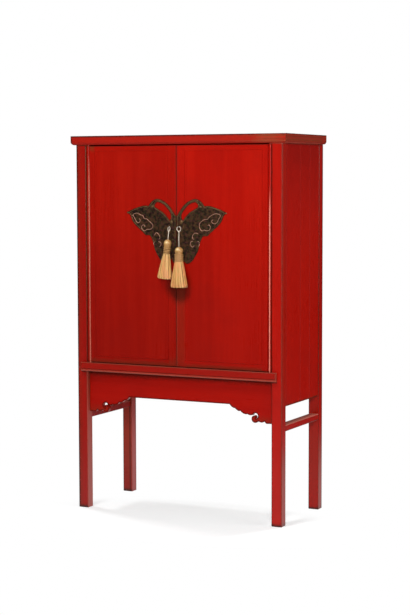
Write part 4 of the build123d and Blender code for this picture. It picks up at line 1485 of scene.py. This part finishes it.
@dataclass
class EyeStaple:
    """A round wire eye with its shank and the two prongs clenched behind the leaf."""

    side: Side
    bronze: bpy.types.Material
    centre: Point
    ring: float = 0.0065
    wire: float = 0.00175
    clenched: float = 0.45  # thickness of the hammered prongs, as a share of the wire's
    turns: int = 40
    sides: int = 14
    rows: int = 6

    def build(self) -> None:
        """Sweep the ring in the Y Z plane, and the shank and prongs as straight wires behind it.

        At angle u round the ring and v round the wire a point is the centre plus
        (ring plus wire cos v) along u, and wire sin v along X.
        """
        name = self.side.node("eye_staple")
        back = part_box(name)[1].y
        prong_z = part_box(name)[1].z - self.centre[2]
        x, y, z = self.centre
        u = (np.arange(self.turns) * math.tau / self.turns)[:, None]
        v = (np.arange(self.sides) * math.tau / self.sides)[None, :]
        away = self.ring + self.wire * np.cos(v)
        wide = np.broadcast_to(self.wire * np.sin(v), (self.turns, self.sides))
        torus = np.stack([x + wide, y + away * np.cos(u), z + away * np.sin(u)], axis=2)
        shell = Shell().add(torus, ring=True)
        shell.add(self.bar((y + self.ring, back), 0.0, 1))
        shell.add(self.bar((-prong_z, prong_z), back - self.wire / 2, 2))
        piece = shell.piece(self.side.node("eye_ring"), self.bronze, self.side.node("leaf"), "plate_bronze")
        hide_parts(name)

    def bar(self, ends: Flat, depth: float, axis: int) -> np.ndarray:
        """A rounded bar along Y from end to end, or upright about the eye's height at a depth.

        Args:
            ends: its two ends: Y for a bar along Y, and heights from the eye for an upright one.
            depth: the upright bar's Y.
            axis: 1 along Y, 2 upright.

        Returns:
            Rows of section points.
        """
        x, _, z = self.centre
        turn = np.arange(self.sides) * math.tau / self.sides
        along, turn = np.meshgrid(np.linspace(*ends, self.rows), turn, indexing="ij")
        wide, flat = self.wire * np.cos(turn), self.wire * np.sin(turn)
        if axis == 1:
            return np.stack([x + wide, along, z + flat], axis=2)
        return np.stack([x + wide, depth + flat * self.clenched, z + along], axis=2)


# --------------------------------------------------------------------------- tassels
@dataclass(frozen=True)
class TasselFinishes:
    """The finishes of a tassel's loose threads, ball, wound neck and cord."""

    threads: bpy.types.Material
    ball: bpy.types.Material
    wound: bpy.types.Material
    cotton: bpy.types.Material


@dataclass
class Tassel:
    """A cord loop through the eye, a silk ball, a wound neck and a skirt of loose threads.

    Places are first worked out hanging straight down from the eye, and then leaned about it.
    `head` is the ball's radius and its foot's; `head_z`, `neck_z`, `skirt_z` and `loop_z` are tops
    and bottoms from the eye. Above the height `limit_foot` nothing passes `inner_limit` towards the
    other tassel. Shades run from 0, dark, to 1, pale.
    """

    BALL_ROWS = 34
    BALL_SIDES = 192
    BALL_RIBS = 48
    BALL_RIB = 0.012
    BALL_TIP = 0.0016  # least radius, so that the cord fills its top
    WORN_AT = 0.32  # share of the ball's height where the painted highlight is strongest
    WORN_REACH = 0.22
    WORN_FRONT = 5  # power that keeps the painted highlight to the front
    BALL_SHADES = (0.34, 0.62, 0.10)  # of the ball, more for the painted highlight, and more on the ribs
    BAND_ROWS = 16
    BAND_THREADS = 4.0
    NECK_SIDES = 72
    NECK_END = 0.03  # share of the neck that rounds off
    NECK_ENDS = (0.92, 0.08)  # share of the radius at the very ends, and what is added away from them
    NECK_SWELLS = (0.82, 0.15, 0.03)  # shares of the neck's radius: its core, a band and a thread
    BAND_SHADES = (1.7, 0.5, 0.8)  # painted shade, dark in the grooves: gain on a band's swell, what is taken off, and the palest
    WOUND_SHADES = (0.8, 0.2)  # share of that between two threads, and more on a thread; painted shade between the threads
    CORE_ROWS = 14
    CORE_SIDES = 144
    CORE_PLEATS = (24, 7)
    PLEAT_SHARES = (0.025, 0.015)
    PLEAT_SHIFT = 1.0  # radians between the two waves
    CORE_WIDTH = 0.93  # shares of the skirt's own width and length
    CORE_LENGTH = 0.985
    # painted shade: the core is dark, for the shade between the threads
    CORE_SHADE = 0.08
    SKIRT_TOP = 0.85  # half width at its top, as a share of the neck's radius
    SKIRT_TOP_DEPTH = 0.86  # greatest half depth at its top, as a share of the tassel's
    FLARE = 0.86  # below 1 the skirt widens faster at its top
    LOCKS = (17.0, 29.0)  # locks that the threads gather in
    PHASES = 6.0  # radians that a random phase is drawn from
    PLACE_JITTER = 0.4  # of the space between two threads
    DRIFT = 0.045
    LOCK_DRIFT = 0.08
    WAVE, WAVES = 0.02, 7.0  # reach of a thread's waves, and their angle at its end
    RAGGED_HEM = 0.04
    SIDE_LIFT = 0.11  # how much shorter the threads at the two sides are
    SIDE_POWER = 8  # power that keeps the lift to the sides
    THREAD_WIDTH = 0.955  # shares of the skirt's width from this to as much more as the spread
    THREAD_SPREAD = 0.05
    LOCK_SWELL = 0.012
    THREAD = 0.00074  # half the thickness of a thread
    THREAD_STOUT = (0.8, 0.5)  # the finest thread's share of that, and the most that chance adds
    THREAD_TAPER = 0.25
    THREAD_SHADES = (0.54, 0.36, 0.22)  # middle shade, swing of the locks, and spread of chance
    THREAD_FLATNESS = 1.15  # a thread is this much wider along the ring than across it
    THREAD_REACH = 1.04  # how far the threads stand out at the front, in the tassel's depths
    KNOT_TURNS = 3.0
    KNOT_ROWS = 25
    KNOT_SIDES = 20
    KNOT_RADIUS = 0.0019
    KNOT_SWELL = 0.0009
    KNOT_ABOVE = 0.0012  # how far it reaches above the loop's foot
    KNOT_LENGTH = 0.0068
    KNOT_SHADE = 0.8
    LOOP_ANGLES = (-60, -20, 20, 60, 90, 120, 160, 200, 240)
    LOOP_BOW = (1.08, 1.05)  # the curve cuts inside its points, so they lie outside the loop
    LOOP_JOIN = 0.0016  # how far below the loop's foot its two sides meet
    HANG_SHARES = (0.15, 0.5, 0.85)
    SWAY, SWAYS = 0.0004, 9.0  # reach of the hanging cord's waves, and their angle at its end
    SUNK = 0.0015  # how far the cord goes into the ball

    side: Side
    finishes: TasselFinishes
    eye: Point
    seed: int
    loop_half: float
    head: Flat
    head_z: Flat
    neck_z: Flat
    neck: float
    skirt_z: Flat
    hem: float
    lean: float
    inner_limit: float
    limit_foot: float
    cord_length: float
    rings: int = 4
    depth: float = 0.0195
    cord_radius: float = 0.0015
    loop_z: Flat = (-0.0029, -0.0240)
    strands: int = 420
    rows: int = 9

    def placed(self, points: np.ndarray) -> np.ndarray:
        """Points leaned in the X Z plane, moved to the eye and kept off the other tassel.

        Args:
            points: points about the eye, X, Y and Z last.

        Returns:
            The points in the part's frame.
        """
        lean = math.radians(self.lean)
        x, y, z = (points[..., axis] for axis in range(3))
        across = self.eye[0] + x * math.cos(lean) + z * math.sin(lean)
        tall = self.eye[2] - x * math.sin(lean) + z * math.cos(lean)
        sign = self.side.value
        held = sign * np.maximum(sign * across, sign * self.inner_limit)
        held = np.where(tall > self.limit_foot, held, across)
        return np.stack([held, self.eye[1] + y, tall], axis=-1)

    def add(self, shell: Shell, name: str, material: bpy.types.Material) -> bpy.types.Object:
        """Put a shell on this side's tassel."""
        return shell.piece(self.side.node(name), material, self.side.node("tassel"), "tassel_silk")

    def turned(self, radii: np.ndarray, heights: np.ndarray, sides: int, ribs: int = 0,
               rib: float = 0.0) -> np.ndarray:
        """A flattened solid of revolution with fine upright ribs.

        At turn u a ring's point lies its radius times (1 + rib cos(ribs u)) from the axis, and the
        front to back half is held to the tassel's depth.

        Args:
            radii: each ring's radius.
            heights: each ring's height from the eye.
            sides: points round a ring.
            ribs: number of ribs.
            rib: their height as a share of the radius.

        Returns:
            Rows of ring points.
        """
        turn = np.arange(sides) * math.tau / sides
        wave = 1.0 + rib * np.cos(ribs * turn)
        wide = radii[:, None] * wave
        deep = np.minimum(radii, self.depth)[:, None] * wave
        tall = np.broadcast_to(heights[:, None], wide.shape)
        return np.stack([wide * np.cos(turn), deep * np.sin(turn), tall], axis=2)

    def ball(self) -> bpy.types.Object:
        """The silk ball, with a painted highlight where it faces the front.

        Above its widest ring its radius follows a circle, and below it half a wave of a cosine draws
        it in to its foot. The painted highlight is a bell curve down its height times a power of how
        far the surface faces the front.

        Returns:
            The piece.
        """
        radius, foot = self.head
        top, bottom = self.head_z
        share = np.linspace(0.0, 1.0, self.BALL_ROWS)
        height = bottom + (top - bottom) * (1.0 - share)
        widest = radius / (top - bottom)
        above = radius * np.sqrt(np.clip(1.0 - ((widest - share) / widest) ** 2, 0.0, 1.0))
        drawn_in = 0.5 + 0.5 * np.cos((share - widest) / (1.0 - widest) * math.pi)
        below = foot + (radius - foot) * drawn_in
        radii = np.maximum(np.where(share < widest, above, below), self.BALL_TIP)
        turn = np.arange(self.BALL_SIDES) * math.tau / self.BALL_SIDES
        # painted highlight: paler where the ball faces the front, high on it
        bell = np.exp(-((share - self.WORN_AT) / self.WORN_REACH) ** 2)
        worn = bell[:, None] * np.clip(-np.sin(turn), 0.0, 1.0)[None, :] ** self.WORN_FRONT
        plain, rubbed, ribbed = self.BALL_SHADES
        shade = plain + rubbed * worn + ribbed * np.cos(self.BALL_RIBS * turn)[None, :]
        points = self.turned(radii, height, self.BALL_SIDES, self.BALL_RIBS, self.BALL_RIB)
        return self.add(Shell().add(self.placed(points), shade=shade), "silk_ball", self.finishes.ball)

    def winding(self) -> bpy.types.Object:
        """The wound neck: bands that swell, each of several turns of thread, with painted shade in the
        grooves.

        Its radius is the neck's times a constant, plus the absolute sine of one half wave for each
        band, plus a smaller one for each turn of thread, and it rounds off at both ends.

        Returns:
            The piece.
        """
        top, bottom = self.neck_z
        share = np.linspace(0.0, 1.0, self.rings * self.BAND_ROWS + 1)
        band = np.abs(np.sin(share * self.rings * math.pi))
        thread = np.abs(np.sin(share * self.rings * self.BAND_THREADS * math.pi))
        ends = np.clip(np.minimum(share, 1.0 - share) / self.NECK_END, 0.0, 1.0)
        core, of_band, of_thread = self.NECK_SWELLS
        tip, more = self.NECK_ENDS
        radii = self.neck * (core + of_band * band + of_thread * thread) * (tip + more * ends)
        height = top + (bottom - top) * share
        gain, less, palest = self.BAND_SHADES
        between, raised = self.WOUND_SHADES
        shade = (np.clip(gain * band - less, 0.0, palest) * (between + raised * thread))[:, None]
        points = self.turned(radii, height, self.NECK_SIDES)
        return self.add(Shell().add(self.placed(points), shade=shade), "wound_neck", self.finishes.wound)

    def skirt_ring(self, share: np.ndarray, turn: np.ndarray) -> Tuple[np.ndarray, np.ndarray]:
        """X and Y of the skirt's surface, a flared and flattened cone.

        Its half width runs from the neck's to the hem's with a power of the share, and its half
        depth runs evenly to the tassel's depth.

        Args:
            share: shares of the skirt's length.
            turn: angles round it.

        Returns:
            X and Y from the axis.
        """
        start = self.neck * self.SKIRT_TOP
        flare = start + (self.hem - start) * share ** self.FLARE
        shallow = min(start, self.depth * self.SKIRT_TOP_DEPTH)
        deep = shallow + (self.depth - shallow) * share
        return flare * np.cos(turn), deep * np.sin(turn)

    def core(self) -> np.ndarray:
        """The skirt's pleated core: the skirt's surface, a little inside it, with two waves round it.

        Returns:
            Rows of ring points.
        """
        top, bottom = self.skirt_z
        turns = np.arange(self.CORE_SIDES) * math.tau / self.CORE_SIDES
        share, turn = np.meshgrid(np.linspace(0.0, 1.0, self.CORE_ROWS), turns, indexing="ij")
        across, deep = self.skirt_ring(share, turn)
        (fine, coarse), (low, high) = self.CORE_PLEATS, self.PLEAT_SHARES
        waves = np.cos(fine * turn), np.cos(coarse * turn + self.PLEAT_SHIFT)
        pleat = low * share * waves[0] + high * share * waves[1]
        width = self.CORE_WIDTH + pleat
        tall = top + (bottom - top) * share * self.CORE_LENGTH
        return np.stack([across * width, deep * width, tall], axis=2)

    def threads(self) -> Tuple[np.ndarray, np.ndarray]:
        """The skirt's loose threads.

        A thread starts at the neck at its own turn, drifts a little sideways, waves, and ends at
        its own height near the hem; its square section lies along the ring and across it.

        Returns:
            Threads by rows by 4 corners by 3, and one shade for each thread.
        """
        draw = np.random.default_rng(self.seed)
        top, bottom = self.skirt_z
        count = self.strands
        few, many = self.LOCKS
        jitter = draw.uniform(-self.PLACE_JITTER, self.PLACE_JITTER, count)
        turns = (np.arange(count) + jitter) * math.tau / count
        locks = np.sin(turns * few + draw.uniform(0, self.PHASES)) * 0.5
        locks = locks + np.sin(turns * many + draw.uniform(0, self.PHASES)) * 0.5
        share = np.linspace(0.0, 1.0, self.rows)[None, :]
        drift = draw.normal(0.0, self.DRIFT, count) - self.LOCK_DRIFT * np.cos(turns * few)
        wave = self.WAVE * np.sin(share * self.WAVES + draw.uniform(0, self.PHASES, count)[:, None])
        around = turns[:, None] + drift[:, None] * share ** 2 + wave * share
        swell = self.LOCK_SWELL * locks
        lift = self.SIDE_LIFT * np.cos(turns) ** self.SIDE_POWER
        length = 1.0 - self.RAGGED_HEM * draw.random(count) + swell - lift
        spread = (self.THREAD_WIDTH + self.THREAD_SPREAD * draw.random(count) + swell)[:, None]
        reach = share * np.minimum(length, 1.0)[:, None]
        across, deep = self.skirt_ring(reach, around)
        tall = top + (bottom - top) * reach
        finest, chance = self.THREAD_STOUT
        stout = finest + chance * draw.random(count)
        thick = self.THREAD * (1.0 - self.THREAD_TAPER * share) * stout[:, None]
        middle = np.stack([across * spread, deep * spread, tall], axis=-1)
        level = np.zeros_like(around)
        out = np.stack([np.cos(around), np.sin(around), level], axis=-1)
        along = np.stack([-np.sin(around), np.cos(around), level], axis=-1)
        corner = np.array([(1, 1), (-1, 1), (-1, -1), (1, -1)], dtype=float)
        corner[:, 1] *= self.THREAD_FLATNESS
        offset = corner[:, 0, None] * out[:, :, None, :] + corner[:, 1, None] * along[:, :, None, :]
        points = middle[:, :, None, :] + offset * thick[:, :, None, None]
        front = self.depth * self.THREAD_REACH
        points[..., 1] = np.clip(points[..., 1], -front, front)
        middle_shade, of_locks, spread_of_chance = self.THREAD_SHADES
        shades = middle_shade + of_locks * locks + draw.normal(0.0, spread_of_chance, count)
        shades = np.clip(shades, 0.0, 1.0)
        return points, shades

    def skirt(self) -> bpy.types.Object:
        """The pleated core with hundreds of loose threads over it.

        Returns:
            The piece.
        """
        # the dark core is painted shade between the threads
        shell = Shell().add(self.placed(self.core()), shade=self.CORE_SHADE)
        points, shades = self.threads()
        shell.add_many(self.placed(points), shades)
        return self.add(shell, "thread_skirt", self.finishes.threads)

    def route(self) -> List[Point]:
        """The cord's points about the eye: round the loop, back to its foot and down to the ball.

        Returns:
            The points, hanging straight down.
        """
        top, foot = self.loop_z
        middle, join = (top + foot) / 2, (0.0, 0.0, foot - self.LOOP_JOIN)
        wide, tall = self.LOOP_BOW[0] * self.loop_half, self.LOOP_BOW[1] * (top - foot) / 2
        points = [join]
        for angle in self.LOOP_ANGLES:
            turn = math.radians(angle)
            points.append((wide * math.cos(turn), 0.0, middle + tall * math.sin(turn)))
        points.append(join)
        head_top = self.head_z[0]
        for share in self.HANG_SHARES:
            points.append((self.SWAY * math.sin(share * self.SWAYS), 0.0, foot + (head_top - foot) * share))
        points.append((0.0, 0.0, head_top - self.SUNK))
        return points

    def cord(self) -> bpy.types.Object:
        """The cord as one open curve along its route.

        Returns:
            The piece.
        """
        points = self.placed(np.array(self.route()))
        data = bpy.data.curves.new(self.side.node("cord"), "CURVE")
        data.dimensions = "3D"
        data.bevel_depth = self.cord_radius
        data.bevel_resolution = 5
        data.use_fill_caps = True
        data.resolution_u = 10
        spline = data.splines.new("NURBS")
        spline.points.add(len(points) - 1)
        spline.points.foreach_set("co", np.column_stack([points, np.ones(len(points))]).ravel())
        spline.order_u = 3
        spline.use_endpoint_u = True
        data.materials.append(self.finishes.cotton)
        made = bpy.data.objects.new(self.side.node("cord"), data)
        bpy.context.scene.collection.objects.link(made)
        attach(made, self.side.node("tassel"))
        LOG.info("piece %s, %d control points", made.name, len(points))
        return made

    def knot(self) -> bpy.types.Object:
        """Three tight turns of thread that close the loop's foot, as a wave down their height.

        Returns:
            The piece.
        """
        foot = self.loop_z[1]
        share = np.linspace(0.0, 1.0, self.KNOT_ROWS)
        swell = np.abs(np.sin(share * self.KNOT_TURNS * math.pi))
        radii = self.KNOT_RADIUS + self.KNOT_SWELL * swell
        points = self.turned(radii, foot + self.KNOT_ABOVE - self.KNOT_LENGTH * share, self.KNOT_SIDES)
        shell = Shell().add(self.placed(points), shade=self.KNOT_SHADE)
        name, body = self.side.node("loop_knot"), self.side.node("tassel")
        return shell.piece(name, self.finishes.cotton, body, "cord_cotton")

    def build(self) -> None:
        """Make the pieces, and hide the tassel's CAD nodes."""
        ball, neck, skirt, knot, cord = self.ball(), self.winding(), self.skirt(), self.knot(), self.cord()
        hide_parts(self.side.node("tassel_head"))
        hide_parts(self.side.node("tassel_binding"))
        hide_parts(self.side.node("tassel_skirt"))
        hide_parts(self.side.node("tassel_loop"), self.side.node("tassel_cord"))
        top = self.placed(np.array([0.0, 0.0, self.loop_z[0]])).tolist()
        2 * self.cord_radius


def eye_centre(side: Side) -> Point:
    """The centre of a side's eye, on the axis that its tassel swings about."""
    joints = {joint["name"]: joint for joint in frame["record"]["behaviour"]["joints"]}
    return tuple(joints[side.node("tassel_swing")]["pos_m"])


def main() -> None:
    """Build the studio and dress the cabinet, part by part."""
    Studio().build()
    Boards().build()
    ApronCarving().build()
    bronze = Bronze().material("plate_bronze")
    copper = Bronze(copper=(0.75, 0.38, 0.26), rubbed_from=1.0, rubbed_to=1.2).material("rubbed_bronze")
    rim = Bronze(copper=(0.24, 0.135, 0.055), rubbed_from=1.280, rubbed_to=1.500).material("rim_bronze")
    finishes = TasselFinishes(
        threads=Silk().material("tassel_silk"),
        ball=Silk(gold=(0.50, 0.25, 0.060), pale=(0.90, 0.68, 0.32), pink=(0.56, 0.29, 0.085), roughness=0.28,
                  specular=1.0, relief=0.12).material("ball_silk"),
        wound=Silk(dark=(0.10, 0.045, 0.015), gold=(0.37, 0.185, 0.055), pale=(0.58, 0.34, 0.13),
                   pink=(0.46, 0.24, 0.10), specular=0.2, sheen=0.0).material("wound_silk"),
        cotton=CottonCord().material("cord_cotton"))
    for side in Side:
        ButterflyPlate(side, bronze, copper, rim).build()
        EyeStaple(side, bronze, eye_centre(side)).build()
    Tassel(Side.LEFT, finishes, eye_centre(Side.LEFT), seed=11, loop_half=0.0055, head=(0.0182, 0.0150),
           head_z=(-0.0650, -0.1040), neck_z=(-0.1030, -0.1365), neck=0.0178, skirt_z=(-0.1345, -0.2555),
           hem=0.0378, lean=6.2, inner_limit=-0.0150, limit_foot=0.0, cord_length=0.0946).build()
    Tassel(Side.RIGHT, finishes, eye_centre(Side.RIGHT), seed=23, loop_half=0.0105, head=(0.0194, 0.0165),
           head_z=(-0.0995, -0.1335), neck_z=(-0.1325, -0.1705), neck=0.0226, skirt_z=(-0.1680, -0.2950),
           hem=0.0455, lean=0.0, inner_limit=-0.0140, limit_foot=1.155, cord_length=0.1427).build()


if __name__ == "__main__":
    logging.basicConfig(level=logging.INFO)
    main()
